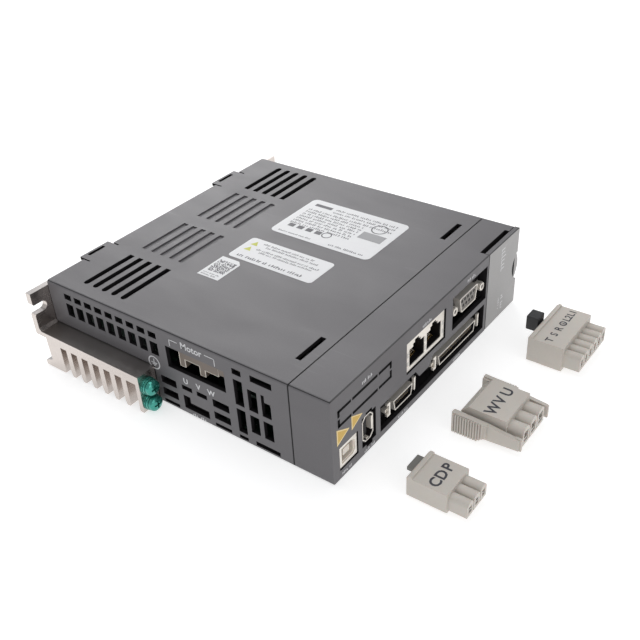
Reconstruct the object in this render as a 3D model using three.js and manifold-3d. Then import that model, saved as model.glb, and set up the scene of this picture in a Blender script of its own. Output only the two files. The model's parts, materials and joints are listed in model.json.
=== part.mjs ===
// Servo drive lying on its side with its three removable power plugs beside it. Millimetres, +Z up.
// x runs from the in-use bottom face (0) to the in-use top face (CASE_X), y from the front panel (0)
// back to the heatsink plate, z from the side it lies on (0) to the label side (CASE_Z).
import * as THREE from "three";
import { mergeVertices } from "three/addons/utils/BufferGeometryUtils.js";
import Module from "manifold-3d";

const CASE_X = 156;
const CASE_Y = 160;
const CASE_Z = 42;
const WALL = 2;
const EDGE_R = 1.2;
const SEAM_Y = 19.6;
const SEAM_GAP = 0.3;
const ORIGIN = [78, 80, 0];
const PAST = 1;

const DOOR_X = 125.4;
const DOOR_T = 2.5;
const DOOR_GAP = 0.5;
const DOOR_HINGE = [127.4, 1.2];
const DISPLAY_WALL_Y = [6, 8];

const SHELF_Z = [14.8, 19.4];
const OVERHANG_Z = 17;
const PLATE_Y = [160.2, 163.4];
const FIN_FRONT_Y = 95.2;
const EAR = 10.2;
const FIN_PITCH = 7.3;
const FIN_FIRST_Y = 105;
const FIN_COUNT = 6;
const FLOOR_Z = [19.7, 21.7];

const SLOT_ROWS = [142.35, 136.35, 130.4, 124.35, 118.2];
const SLOT_W = 3;
const RECESS_DEPTH = 0.8;

const GREY = 0x55555a;
const DOOR_GREY = 0x84827f;
const ALUMINIUM = 0xb4afaa;
const PLUG = 0xcbc4b6;
const BEIGE = 0xd0c3b0;
const BLACK = 0x17161a;
const SHELL = 0xe6e0d6;
const STEEL = 0xb9b9bb;
const GREEN = 0x1c9a7b;
const BOARD = 0x2c6b45;
const PAPER = 0xe9e8e5;

const wasm = await Module();
wasm.setup();

const AXIS = {
  x: new THREE.Matrix4().set(0, 0, 1, 0, 1, 0, 0, 0, 0, 1, 0, 0, 0, 0, 0, 1),
  y: new THREE.Matrix4().set(1, 0, 0, 0, 0, 0, -1, 0, 0, 1, 0, 0, 0, 0, 0, 1),
  z: new THREE.Matrix4(),
};

function solid(geometry) {
  const bare = geometry.index ? geometry.toNonIndexed() : geometry;
  bare.deleteAttribute("normal");
  bare.deleteAttribute("uv");
  const merged = mergeVertices(bare, 1e-4);
  return new wasm.Manifold(
    new wasm.Mesh({
      numProp: 3,
      vertProperties: merged.attributes.position.array,
      triVerts: new Uint32Array(merged.index.array),
    }),
  );
}

function joined(solids) {
  return solids.reduce((sum, next) => sum.add(next));
}

// A block between two limits along each axis.
function block([x0, x1], [y0, y1], [z0, z1]) {
  const g = new THREE.BoxGeometry(x1 - x0, y1 - y0, z1 - z0);
  return solid(g.translate((x0 + x1) / 2, (y0 + y1) / 2, (z0 + z1) / 2));
}

// An outline extruded between two limits along an axis. The outline lies in (y, z) for x,
// in (x, z) for y and in (x, y) for z.
function prism(axis, shape, [from, to]) {
  const g = new THREE.ExtrudeGeometry(shape, {
    depth: to - from,
    bevelEnabled: false,
    curveSegments: 8,
  });
  g.translate(0, 0, axis === "y" ? -to : from);
  return solid(g.applyMatrix4(AXIS[axis]));
}

function polygon(points) {
  return new THREE.Shape(points.map(([u, v]) => new THREE.Vector2(u, v)));
}

function rounded([u0, u1], [v0, v1], r) {
  const s = new THREE.Shape();
  s.moveTo(u0 + r, v0);
  s.lineTo(u1 - r, v0);
  s.absarc(u1 - r, v0 + r, r, -Math.PI / 2, 0, false);
  s.lineTo(u1, v1 - r);
  s.absarc(u1 - r, v1 - r, r, 0, Math.PI / 2, false);
  s.lineTo(u0 + r, v1);
  s.absarc(u0 + r, v1 - r, r, Math.PI / 2, Math.PI, false);
  s.lineTo(u0, v0 + r);
  s.absarc(u0 + r, v0 + r, r, Math.PI, 1.5 * Math.PI, false);
  return s;
}

// A round bar about an axis through (u, v), with the same (u, v) as prism.
function bar(axis, [u, v], r, span, segments = 20) {
  const s = new THREE.Shape();
  for (let i = 0; i < segments; i += 1) {
    const a = (2 * Math.PI * i) / segments;
    const point = [u + r * Math.cos(a), v + r * Math.sin(a)];
    if (i === 0) s.moveTo(...point);
    else s.lineTo(...point);
  }
  return prism(axis, s, span);
}

const drive = new THREE.Group();
drive.name = "servo_drive";
const layout = new THREE.Group();
layout.position.set(-ORIGIN[0], -ORIGIN[1], -ORIGIN[2]);
drive.add(layout);

function piece(name, colour, roughness, metalness, body) {
  const mesh = body.getMesh();
  const g = new THREE.BufferGeometry();
  const position = new THREE.BufferAttribute(Float32Array.from(mesh.vertProperties), 3);
  g.setAttribute("position", position);
  g.setIndex(new THREE.BufferAttribute(Uint32Array.from(mesh.triVerts), 1));
  const flat = g.toNonIndexed();
  flat.computeVertexNormals();
  const material = new THREE.MeshStandardMaterial({ color: colour, roughness, metalness });
  material.name = name;
  const node = new THREE.Mesh(flat, material);
  node.name = name;
  layout.add(node);
}

// ---------- Main housing ----------

// The far end's lower holes stop here, where the capacitors stand against the wall.
const CAPACITOR_SIDE_Y = 130;

// Holes of an end face's air grid as [y range, z range].
function airGrid() {
  const holes = [];
  for (let i = 0; i < 9; i += 1) {
    const y0 = 144.7 - 6.77 * i;
    holes.push([[y0, y0 + 4.7], [35.4, 38.4]]);
    holes.push([[y0, y0 + 4.7], [26.4, 33.1]]);
  }
  return holes;
}

function columnHoles() {
  return [
    [[43.4, 48.1], [35.3, 38.2]],
    [[43.4, 48.1], [19.7, 32.7]],
    [[43.4, 48.1], [5, 17.5]],
    [[36.1, 40.9], [19.7, 30.6]],
    [[36.1, 40.9], [8, 17.2]],
    [[32.3, 33.9], [19.8, 30.8]],
    [[29.2, 32.4], [19.8, 27.4]],
    [[29, 33.9], [8, 17.2]],
    [[27.8, 38.7], [35.3, 38.4]],
    [[26.4, 39.2], [1.6, 3.8]],
    [[43.4, 48.2], [1.5, 3.2]],
  ];
}

function connectorHoles() {
  const rows = [[12.2, 16.2], [5.6, 9.5], [1.5, 3.2]];
  const holes = [[[73.4, 79.4], [13.8, 16.2]], [[64.8, 70.7], [13.8, 16.2]]];
  for (const z of rows) {
    holes.push([[82.8, 92], z]);
    holes.push([[52.5, 61.7], z]);
  }
  return holes;
}

const STO_OPENING = [
  [64.8, 3.4], [79.4, 3.4], [79.4, 10.5], [75.3, 10.5], [75.3, 7.5], [64.8, 7.5],
];
const MOTOR_OPENING = [[52.8, 85.7], [23.2, 34.2]];
const MAINS_OPENING = [[50.8, 85.7], [23.2, 36.4]];
const BRAKE_OPENING = [[26.8, 45.8], [23.2, 33.4]];
const TAB_X = [[22.75, 40.25], [116, 134]];
const TAB_WINDOW_X = [[26.2, 36], [119.5, 130]];

function mainHousing() {
  const outer = prism("y", rounded([0, CASE_X], [0, CASE_Z], EDGE_R), [SEAM_Y, CASE_Y]);
  const room = [WALL, CASE_X - WALL];
  const cuts = [
    block([-PAST, CASE_X + PAST], [FIN_FRONT_Y - 0.3, CASE_Y + PAST], [-PAST, FLOOR_Z[0]]),
    block(room, [SEAM_Y - PAST, CASE_Y + PAST], [FLOOR_Z[1], CASE_Z - WALL]),
    block(room, [SEAM_Y - PAST, FIN_FRONT_Y - WALL], [WALL, CASE_Z - WALL]),
    block([48, 112], [103, 147], [FLOOR_Z[0] - PAST, FLOOR_Z[1] + PAST]),
  ];
  const left = [-PAST, WALL + 0.5];
  const right = [CASE_X - WALL - 0.5, CASE_X + PAST];
  for (const [y, z] of airGrid()) {
    cuts.push(block(left, y, z));
    const besideCapacitors = y[0] > CAPACITOR_SIDE_Y && z[0] < 34;
    if (!besideCapacitors) cuts.push(block(right, y, z));
  }
  for (const [y, z] of [...columnHoles(), ...connectorHoles(), MOTOR_OPENING]) {
    cuts.push(block(left, y, z));
  }
  cuts.push(prism("x", polygon(STO_OPENING), left));
  cuts.push(block(right, ...MAINS_OPENING), block(right, ...BRAKE_OPENING));
  const roof = [CASE_Z - WALL - PAST, CASE_Z + PAST];
  const skin = [CASE_Z - RECESS_DEPTH, CASE_Z + PAST];
  for (const y of SLOT_ROWS) {
    const band = [y - SLOT_W / 2, y + SLOT_W / 2];
    cuts.push(block([9, 37.1], band, roof), bar("z", [9, y], SLOT_W / 2, roof, 12));
    cuts.push(block([120.25, 148.5], band, roof), bar("z", [148.5, y], SLOT_W / 2, roof, 12));
    cuts.push(block([44.6, 74], band, skin), block([83.4, 113.4], band, skin));
  }
  for (const x of [[14.75, 32], [126.75, 143.9]]) cuts.push(block(x, [24.5, 27.2], roof));
  const tabs = TAB_X.map((x) => block(x, [CASE_Y - 3.4, 163.3], [CASE_Z - 1.6, CASE_Z]));
  const windows = TAB_WINDOW_X.map((x) => block(x, [CASE_Y + 0.2, 162.1], roof));
  for (const [x0, x1] of TAB_X) {
    for (const x of [x0 - 0.8, x1]) cuts.push(block([x, x + 0.8], [156, CASE_Y + PAST], roof));
  }
  let body = outer;
  for (const cut of cuts) body = body.subtract(cut);
  body = body.add(joined(tabs));
  for (const cut of windows) body = body.subtract(cut);
  return body;
}

// ---------- Front cover ----------

const USB = { x: [4.7, 17.4], z: [4.1, 15.8] };
const FEEDBACK = { x: [20.1, 30.1], z: [4, 19.4] };
const RIBBON = { x: [33.4, 122.7], z: [3, 16.4] };
const WEB = [[60.6, 17], [64, 12.2], [72.4, 12.2], [75.8, 17]];
const NETWORK = { x: [53.6, 85.8], z: [19.4, 35.3] };
const SERIAL = { x: [91.8, 123.8], z: [19.4, 36.8] };
const KNOCKOUT = { x: [4.6, 41.8], z: [26.4, 34.6] };
const KEY_Z = [7, 14, 21, 28, 35];
const KEY_X = 147.5;
const KEY_W = 4.4;
const DISPLAY = { x: [129.5, 141], z: [6, 36] };

function knockoutGroove() {
  const [x0, x1] = KNOCKOUT.x;
  const [z0, z1] = KNOCKOUT.z;
  const w = 1.1;
  const depth = [-PAST, 0.8];
  const parts = [];
  for (const z of [z0, z1 - w]) {
    for (const x of [[x0, 13.2], [14.4, 31.5], [32.7, x1]]) parts.push(block(x, depth, [z, z + w]));
  }
  for (const x of [x0, x1 - w]) {
    parts.push(block([x, x + w], depth, [z0, 30.1]), block([x, x + w], depth, [31.4, z1]));
  }
  return joined(parts);
}

function frontCover() {
  const back = SEAM_Y - SEAM_GAP;
  let body = prism("y", rounded([0, CASE_X], [0, CASE_Z], EDGE_R), [0, back]);
  const inner = [WALL, CASE_Z - WALL];
  const through = [-PAST, WALL + 0.5];
  const doorEdge = DOOR_X - DOOR_GAP;
  const cuts = [
    block([WALL, doorEdge - 1.1], [WALL, SEAM_Y + PAST], inner),
    block([doorEdge - 1.6, CASE_X - WALL], [DISPLAY_WALL_Y[1], SEAM_Y + PAST], inner),
    block([doorEdge, CASE_X + PAST], [-PAST, DOOR_T + 0.2], [-PAST, CASE_Z + PAST]),
    block([doorEdge, CASE_X - 3], [1, DISPLAY_WALL_Y[0]], [4, CASE_Z - 4]),
    block([doorEdge, 150], [2.6, 4.9], [CASE_Z - 5, CASE_Z + PAST]),
    block([doorEdge, 130.5], [1, 4.2], [-PAST, 5]),
    block(DISPLAY.x, [5, 9], DISPLAY.z),
    block(USB.x, through, USB.z),
    block(FEEDBACK.x, through, FEEDBACK.z),
    block([23, 27.4], through, [2.5, 20.8]),
    block(RIBBON.x, through, RIBBON.z).subtract(prism("y", polygon(WEB), [-2 * PAST, 2 * WALL])),
    block(NETWORK.x, through, NETWORK.z),
    block(SERIAL.x, through, SERIAL.z),
    knockoutGroove(),
  ];
  for (const z of KEY_Z) {
    cuts.push(block([KEY_X - KEY_W / 2 - 0.3, KEY_X + KEY_W / 2 + 0.3], [5, 9], [z - 2.5, z + 2.5]));
  }
  for (const cut of cuts) body = body.subtract(cut);
  return body;
}

// ---------- Display door, hinged along z at its inner end, with a thumb scoop at the far end ----------

const SCOOP_Z = 21;
const SCOOP_HALF = 8;

function lens(x, bulge) {
  const s = new THREE.Shape();
  s.moveTo(x, SCOOP_Z - SCOOP_HALF);
  const steps = 12;
  for (let i = 1; i <= steps; i += 1) {
    const t = (2 * i) / steps - 1;
    s.lineTo(x + bulge * (1 - t * t), SCOOP_Z + SCOOP_HALF * t);
  }
  return s;
}

function displayDoor() {
  const plate = block([DOOR_X, CASE_X], [0, DOOR_T], [0.2, CASE_Z - 0.2]);
  const lip = prism("y", lens(CASE_X - 0.5, 3.5), [1, DOOR_T]);
  const [hx, hy] = DOOR_HINGE;
  const knuckles = [[6, 11], [31, 36]].map((z) => bar("z", [hx, hy + 1.2], 1.2, z, 12));
  const scoop = prism("y", lens(CASE_X - 0.5, -4.5), [-PAST, 1]);
  const rim = prism("y", lens(CASE_X - 0.6, 5), [-PAST, 1]);
  return joined([plate, lip, ...knuckles]).subtract(scoop).subtract(rim);
}

function keyCap(z) {
  const half = KEY_W / 2;
  const x = [KEY_X - half, KEY_X + half];
  const flange = block([KEY_X - half - 0.8, KEY_X + half + 0.8], [9, 10], [z - 2.9, z + 2.9]);
  return block(x, [4.6, 9.5], [z - half, z + half]).add(flange);
}

function displayModule() {
  const [x0, x1] = DISPLAY.x;
  const [z0, z1] = DISPLAY.z;
  return block([x0 + 0.3, x1 - 0.3], [6.6, 13], [z0 + 0.3, z1 - 0.3]);
}

function displayBoard() {
  return block([127, 153], [13.2, 14.6], [3, 39]);
}

// ---------- Heatsink: back plate with two ears, shelf, fins and end wall in one extrusion ----------

function fin(y) {
  const root = 1.6;
  const tip = 0.9;
  return [
    [y - root, SHELF_Z[0] + 0.5], [y - root, 2.2], [y - tip, 0], [y + tip, 0],
    [y + root, 2.2], [y + root, SHELF_Z[0] + 0.5],
  ];
}

const PLATE_SCREWS = [[8, 23.8], [148, 23.8], [8, 34.8], [148, 34.8]];

const LEG_Y = [147.2, 156.6];
const LEG = [[LEG_Y[0], 15.3], [LEG_Y[0], 2.2], [147.9, 0], [155.8, 0], [LEG_Y[1], 15.3]];
const FOOT = [[154, 0], [161.3, 0], [161.3, 2.4], [156, 4.6], [154, 4.6]];
const PLATE_TOP = 39.4;

function heatsink() {
  const span = [-EAR, CASE_X + EAR];
  const parts = [
    block(span, PLATE_Y, [OVERHANG_Z, PLATE_TOP]),
    block(span, [FIN_FRONT_Y, LEG_Y[1]], SHELF_Z),
    block(span, [LEG_Y[1] - 1, PLATE_Y[1]], [OVERHANG_Z, SHELF_Z[1]]),
    block(span, [FIN_FRONT_Y, FIN_FRONT_Y + 2.4], [0, SHELF_Z[1]]),
    prism("x", polygon(LEG), span),
    prism("x", polygon(FOOT), span),
  ];
  for (let i = 0; i < FIN_COUNT; i += 1) {
    parts.push(prism("x", polygon(fin(FIN_FIRST_Y + FIN_PITCH * i)), span));
  }
  const gusset = [
    [158.8, 19], [PLATE_Y[0] + 0.5, 19], [PLATE_Y[0] + 0.5, 20.8], [PLATE_Y[0], 20.8],
  ];
  for (const x of [[-EAR, -0.3], [CASE_X + 0.3, CASE_X + EAR]]) {
    parts.push(prism("x", polygon(gusset), x));
  }
  let body = joined(parts);
  const through = [PLATE_Y[0] - 4, PLATE_Y[1] + PAST];
  const slotZ = 30.8;
  for (const [x, out] of [[-5.2, -1], [CASE_X + 5.2, 1]]) {
    const reach = out * 6;
    const slot = [Math.min(x, x + reach), Math.max(x, x + reach)];
    body = body.subtract(block(slot, through, [slotZ - 2.4, slotZ + 2.4]));
    body = body.subtract(bar("y", [x, slotZ], 2.4, through, 16));
    const tipX = x + out * 5.6;
    const mouth = [[x + out * 3.2, slotZ], [tipX, slotZ - 4.4], [tipX, slotZ + 4.4]];
    body = body.subtract(prism("y", polygon(mouth), through));
  }
  for (const at of PLATE_SCREWS) {
    body = body.subtract(bar("y", at, 3.3, [PLATE_Y[1] - 1.8, PLATE_Y[1] + PAST], 20));
  }
  return body;
}

// The height of a ground screw with its flat and spring washers.
const SCREW_STACK = 5.2;

function groundScrew(z) {
  const x = -5.8;
  const top = FIN_FRONT_Y - SCREW_STACK;
  const washer = bar("y", [x, z], 4.1, [FIN_FRONT_Y - 2.6, FIN_FRONT_Y - 0.05], 24);
  const head = bar("y", [x, z], 3.7, [top, FIN_FRONT_Y - 2.5], 20);
  const cross = [
    block([x - 1.9, x + 1.9], [top - 1, top + 1.2], [z - 0.4, z + 0.4]),
    block([x - 0.4, x + 0.4], [top - 1, top + 1.2], [z - 1.9, z + 1.9]),
  ];
  return washer.add(head).subtract(joined(cross));
}

function plateScrew([x, z]) {
  const head = bar("y", [x, z], 3, [PLATE_Y[1] - 1.7, PLATE_Y[1] - 0.1], 20);
  const y = [PLATE_Y[1] - 0.8, PLATE_Y[1] + 3];
  return head
    .subtract(block([x - 1.6, x + 1.6], y, [z - 0.35, z + 0.35]))
    .subtract(block([x - 0.35, x + 0.35], y, [z - 1.6, z + 1.6]));
}

// ---------- Power headers on the end faces ----------

// A pin header with one open cavity per row of poles, its mouth at the face and its pins inside.
function powerHeader(face, inward, [y0, y1], [z0, z1], poles) {
  const span = (a, b) => {
    const ends = [face + inward * a, face + inward * b];
    return [Math.min(...ends), Math.max(...ends)];
  };
  const outer = block(span(0.8, 15), [y0, y1], [z0, z1]);
  const cavity = block(span(0, 13), [y0 + 1.4, y1 - 1.4], [z0 + 1.4, z1 - 1.4]);
  let body = outer.subtract(cavity);
  const pitch = (y1 - y0 - 2.8) / poles;
  for (let i = 0; i < poles; i += 1) {
    const y = y0 + 1.4 + pitch * (i + 0.5);
    const mid = (z0 + z1) / 2;
    body = body.add(block(span(6, 13.5), [y - 0.7, y + 0.7], [mid - 0.7, mid + 0.7]));
    if (i > 0) {
      const edge = y - pitch / 2;
      body = body.add(block(span(6, 13.5), [edge - 0.5, edge + 0.5], [z0 + 1, z0 + 3.2]));
    }
  }
  return body;
}

// The motor header shows its roof, with key ribs hanging from it, and three pins in the space below.
function motorHeader() {
  const [y0, y1] = [54.6, 79.6];
  const roof = block([1.8, 15], [y0, y1], [29.2, 33.8]);
  const back = block([13, 15], [y0, y1], [23.6, 33.8]);
  const ribs = [
    block([1.8, 14], [y1 - 3, y1], [25, 33]),
    block([1.8, 14], [65.3, 68.2], [24.6, 33]),
    block([1.8, 14], [y0 + 3, 65.4], [28.1, 33]),
  ];
  const pins = [73, 62.4, 58].map((y) => block([6, 13.5], [y - 0.7, y + 0.7], [25.6, 27]));
  return joined([roof, back, ...ribs, ...pins]);
}

function stoConnector() {
  const shell = block([2.6, 14], [62.5, 81.5], [2.3, 11.4]);
  const slot = prism("x", polygon([
    [66.2, 4.2], [78.4, 4.2], [78.4, 9.6], [76.2, 9.6], [76.2, 6.8], [66.2, 6.8],
  ]), [2, 12]);
  return shell.subtract(slot);
}

// ---------- Front connectors ----------

function usbSocket() {
  const shell = prism("y", rounded([5.2, 16.9], [4.6, 15.3], 0.6), [0.5, 16]);
  const mouth = prism("y", polygon([
    [6.6, 6], [14.2, 6], [15.6, 7.6], [15.6, 12.3], [14.2, 13.9], [6.6, 13.9],
  ]), [-PAST, 9]);
  const tongue = block([8.4, 13.4], [4, 10], [8, 11.9]);
  return shell.subtract(mouth).add(tongue);
}

function octagon([x0, x1], [z0, z1], c) {
  return polygon([
    [x0 + c, z0], [x1 - c, z0], [x1, z0 + c], [x1, z1 - c],
    [x1 - c, z1], [x0 + c, z1], [x0, z1 - c], [x0, z0 + c],
  ]);
}

function feedbackSocket() {
  const shell = prism("y", octagon([20.9, 29.3], [4.7, 18.8], 2), [0.6, 18]);
  const mouth = prism("y", octagon([21.7, 28.5], [5.5, 18], 1.7), [-PAST, 11]);
  const tongue = block([24.1, 26.1], [4.4, 12], [7.2, 16.3]);
  return shell.subtract(mouth).add(tongue);
}

// A ribbon receptacle: flange with end ears and a hollow D shell around a contact tongue.
function ribbonSocket([x0, x1], ears) {
  const z = [4.9, 10.7];
  const c = 1.2;
  const outer = polygon([[x0, z[1]], [x1, z[1]], [x1 - c, z[0]], [x0 + c, z[0]]]);
  const inner = polygon([
    [x0 + 0.9, z[1] - 0.8], [x1 - 0.9, z[1] - 0.8], [x1 - c - 0.7, z[0] + 0.8], [x0 + c + 0.7, z[0] + 0.8],
  ]);
  const flange = block([ears[0][0], ears[1][1]], [3.4, 14], [4.4, 13.2]);
  const shell = prism("y", outer, [1.2, 4]).add(flange).subtract(prism("y", inner, [-PAST, 9]));
  const tongue = block([x0 + 3.4, x1 - 3.4], [4.8, 10], [7.1, 8.5]);
  const latches = ears.map((x) => block(x, [0.9, 4], [5.2, 13]).subtract(
    block([x[0] + 0.9, x[1] - 0.9], [0, 2.6], [6.6, 11.2]),
  ));
  return joined([shell, tongue, ...latches]);
}

const PORTS = [[56.6, 68.6], [70.6, 82.6]];

function networkJack() {
  let body = block([54.1, 85.2], [0.6, 21], [19.9, 34.8]);
  for (const [x0, x1] of PORTS) {
    const mid = (x0 + x1) / 2;
    body = body.subtract(block([x0, x1], [-PAST, 13], [21.7, 30.5]));
    body = body.subtract(block([mid - 3.1, mid + 3.1], [-PAST, 13], [30, 32]));
    body = body.subtract(block([mid - 1.7, mid + 1.7], [-PAST, 13], [31, 33.3]));
    for (let i = 0; i < 8; i += 1) {
      const x = mid + (i - 3.5) * 1.02;
      body = body.add(prism("x", polygon([[4.5, 23.2], [13.5, 27.2], [13.5, 21.3], [4.5, 22.5]]), [
        x - 0.25, x + 0.25,
      ]));
    }
  }
  return body;
}

const SERIAL_X = [100.4, 117];

function serialSocket() {
  const z = [22.8, 30.9];
  const [x0, x1] = SERIAL_X;
  const dOutline = (inset) => polygon([
    [x0 + inset, z[1] - inset], [x1 - inset, z[1] - inset],
    [x1 - 1.6 - inset * 0.8, z[0] + inset], [x0 + 1.6 + inset * 0.8, z[0] + inset],
  ]);
  const flange = block([93, 123.5], [4.4, 5.6], [20.6, 32.8]);
  const shell = prism("y", dOutline(0), [1.1, 5]).subtract(prism("y", dOutline(0.6), [-PAST, 2.4]));
  const rear = block([98, 119.6], [5, 14], [21.2, 32.4]);
  return joined([flange, shell, rear]);
}

function jackScrew(x) {
  const z = 26.8;
  const hex = bar("y", [x, z], 2.3, [0.9, 4.3], 6);
  return hex.subtract(bar("y", [x, z], 1.3, [-PAST, 3.6], 12));
}

// ---------- Inside ----------

function controlBoard() {
  return block([4, 121], [16.4, 90], [3, 4.4]).subtract(block([3, 15], [59, 90.5], [2, 5]));
}

function networkBoard() {
  return block([46, 121], [21.4, 60], [18, 19.4]);
}

function powerBoard() {
  const plate = block([4.5, 151.5], [24, 157], [22.2, 23.6]);
  return plate
    .subtract(block([4, 17.6], [52, 86.6], [21, 25]))
    .subtract(block([138, 152], [25, 87.6], [21, 25]));
}

function busCapacitor(y) {
  const can = bar("x", [y, 31.6], 7.4, [14, 52], 28);
  const groove = bar("x", [y, 31.6], 8, [17, 18.2], 28).subtract(
    bar("x", [y, 31.6], 6.8, [16, 19], 28),
  );
  const foot = block([40, 50], [y - 3, y + 3], [23.7, 26]);
  return can.subtract(groove).add(foot);
}

function lineChoke() {
  const ring = bar("z", [126, 118], 11, [23.8, 33.8], 32);
  return ring.subtract(bar("z", [126, 118], 5, [23, 35], 24));
}

function transformer() {
  const core = block([66, 92], [112, 134], [27, 34.6]);
  const bobbin = block([70, 88], [109.5, 136.5], [23.8, 37.4]);
  return core.add(bobbin);
}

function powerModule() {
  return block([52, 108], [107, 143], [19.5, 22]);
}

function relay() {
  return prism("z", rounded([96, 111], [64, 84], 0.8), [23.7, 36]);
}

// ---------- Printed labels on the upper side ----------

function label(shape) {
  return prism("z", shape, [CASE_Z + 0.01, CASE_Z + 0.16]);
}

function codeLabel() {
  return label(polygon([[41.5, 92.1], [57, 92.1], [59.4, 94.6], [59.4, 104.7], [41.5, 104.7]]));
}

// ---------- Loose plugs, lying on the floor beside the drive ----------

// A row of round-topped contact towers along x, standing out of a plug towards -y.
function towers([x0, x1], count, [y0, y1], [z0, z1]) {
  const pitch = (x1 - x0) / count;
  const parts = [block([x0 + 0.4, x1 - 0.4], [y1 - 2.5, y1], [z0 + 1, z1 - 3])];
  for (let i = 0; i < count; i += 1) {
    const x = x0 + pitch * (i + 0.5);
    const r = pitch * 0.46;
    const s = new THREE.Shape();
    s.moveTo(x - r, z0);
    s.lineTo(x + r, z0);
    s.lineTo(x + r, z1 - r);
    s.absarc(x, z1 - r, r, 0, Math.PI, false);
    const hollow = block([x - r + 1.3, x + r - 1.3], [y0 - PAST, y1 - 3], [z0 + 1.6, z1 - 2.4]);
    parts.push(prism("y", s, [y0, y1]).subtract(hollow));
  }
  return joined(parts);
}

// Wire funnels, one for each pole, cut into the back of a plug.
function funnels([x0, x1], count, y, [z0, z1]) {
  const pitch = (x1 - x0) / count;
  const cuts = [];
  for (let i = 0; i < count; i += 1) {
    const x = x0 + pitch * (i + 0.5);
    cuts.push(block([x - pitch * 0.3, x + pitch * 0.3], [y - 6, y + PAST], [z0, z1]));
  }
  return joined(cuts);
}

const BRAKE_PLUG = { x: [11.3, 28.3], y: [-43.5, -26], top: 9.8 };
const MAINS_PLUG = { x: [113.9, 145.6], y: [-43.6, -26.9], top: 12.9 };
const MOTOR_PLUG = { x: [57.2, 78.8], y: [-44.5, -24], top: 12.4 };
const TOWER_END = -51.6;

function brakePlug() {
  const { x, y, top } = BRAKE_PLUG;
  const ridge = block(x, [y[1] - 2.4, y[1] - 0.6], [top - 1, top + 0.8]);
  const body = joined([
    block(x, y, [0.6, top]),
    block([x[0] + 0.6, x[1] - 0.6], [y[0], y[1] - 7], [0, 2]),
    ridge,
    towers([x[0] + 0.7, x[1] - 0.7], 3, [TOWER_END, y[0] + 1], [1.6, top - 1.2]),
  ]);
  const notch = block([17, 26], [y[1] - 3, y[1] + PAST], [5.3, 8.9]);
  return body.subtract(funnels([x[0] + 0.8, x[1] - 0.8], 3, y[1], [1.8, 5])).subtract(notch);
}

function brakeLever() {
  return block([17.4, 25.6], [-28.7, -22.4], [6.7, 8.5]);
}

function mainsPlug() {
  const { x, y, top } = MAINS_PLUG;
  const ridge = block(x, [y[1] - 2.2, y[1] - 0.8], [top - 1, top + 0.7]);
  const body = joined([
    block(x, y, [0.6, top]),
    block([x[0] + 0.6, x[1] - 0.6], [y[0], y[1] - 7], [0, 2]),
    ridge,
    towers([x[0] + 1, x[1] - 1], 6, [TOWER_END, y[0] + 1], [2.4, top - 2.4]),
  ]);
  const notch = block([126, 133.6], [y[1] - 3.4, y[1] + PAST], [5.9, 11.4]);
  return body.subtract(funnels([x[0] + 1, x[1] - 1], 6, y[1], [1.8, 6])).subtract(notch);
}

function mainsLever() {
  const arm = block([126.4, 133.2], [-29.8, -20], [7.8, 11]);
  return arm.add(block([126.4, 133.2], [-25.9, -20], [7.8, 15]));
}

function motorPlug() {
  const { x, y, top } = MOTOR_PLUG;
  const body = joined([
    prism("x", polygon([
      [y[0], 0], [y[1], 0], [y[1], top - 3.4], [y[1] - 1.4, top - 2.2], [y[1] - 3.4, top], [y[0], top],
    ]), x),
    towers([x[0] + 0.6, x[1] - 0.6], 3, [TOWER_END, y[0] + 1], [1.6, top - 1.8]),
    block([56.2, 57.6], [-36.5, -34.5], [3, 8]),
    block([78.4, 79.8], [-36.5, -34.5], [3, 8]),
  ]);
  return body.subtract(funnels([x[0] + 0.8, x[1] - 0.8], 3, y[1], [2, 7]));
}

// A rocking side latch: ribbed thumb end, thin arm, hook at the mating end.
function motorLatch(side) {
  const inner = side < 0 ? 56.0 : 80.0;
  const at = (a, b) => {
    const ends = [inner + side * a, inner + side * b];
    return [Math.min(...ends), Math.max(...ends)];
  };
  const arm = [[-51.6, 2.4], [-37, 1.4], [-22, 0.6], [-22, 9.8], [-37, 9.2], [-51.6, 7.6]];
  const pad = [[-37.5, 2.8], [-33, 0.2], [-22, 0], [-22, 10.4], [-37.5, 9.6]];
  const parts = [
    prism("x", polygon(arm), at(0, 1.8)),
    prism("x", polygon(pad), at(1, 2.9)),
    block(at(-0.2, 1), [-52.4, -49.4], [2, 8]),
  ];
  for (let i = 0; i < 12; i += 1) {
    const y = -22.8 - 1.2 * i;
    parts.push(block(at(2.6, 3.5), [y - 0.35, y + 0.35], [Math.max(0.3, 0.3 + (i - 9)), 9.6]));
  }
  return joined(parts);
}

// ---------- The assembly ----------

piece("main_housing", GREY, 0.55, 0, mainHousing());
piece("front_cover", GREY, 0.55, 0, frontCover());
piece("display_door", DOOR_GREY, 0.5, 0, displayDoor());
piece("heatsink", ALUMINIUM, 0.45, 0.9, heatsink());
[12.7, 4.15].forEach((z, i) => piece(`ground_screw_${i + 1}`, GREEN, 0.3, 0.6, groundScrew(z)));
PLATE_SCREWS.forEach((at, i) =>
  piece(`plate_screw_${i + 1}`, STEEL, 0.35, 0.9, plateScrew(at)),
);
piece("motor_header", BEIGE, 0.5, 0, motorHeader());
piece("mains_header", BEIGE, 0.5, 0, powerHeader(CASE_X, -1, [51.2, 85.3], [23.8, 36], 5));
piece("brake_header", BEIGE, 0.5, 0, powerHeader(CASE_X, -1, [27.2, 45.4], [23.8, 33], 3));
piece("sto_connector", BLACK, 0.5, 0, stoConnector());
piece("usb_socket", SHELL, 0.35, 0.3, usbSocket());
piece("feedback_socket", SHELL, 0.35, 0.4, feedbackSocket());
piece("ribbon_socket_small", STEEL, 0.35, 0.6, ribbonSocket([45.1, 60.3], [[39.6, 42.8], [60.6, 62.9]]));
piece("ribbon_socket_large", STEEL, 0.35, 0.6, ribbonSocket([82.2, 116.6], [[77.2, 80.6], [117.2, 120]]));
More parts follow.
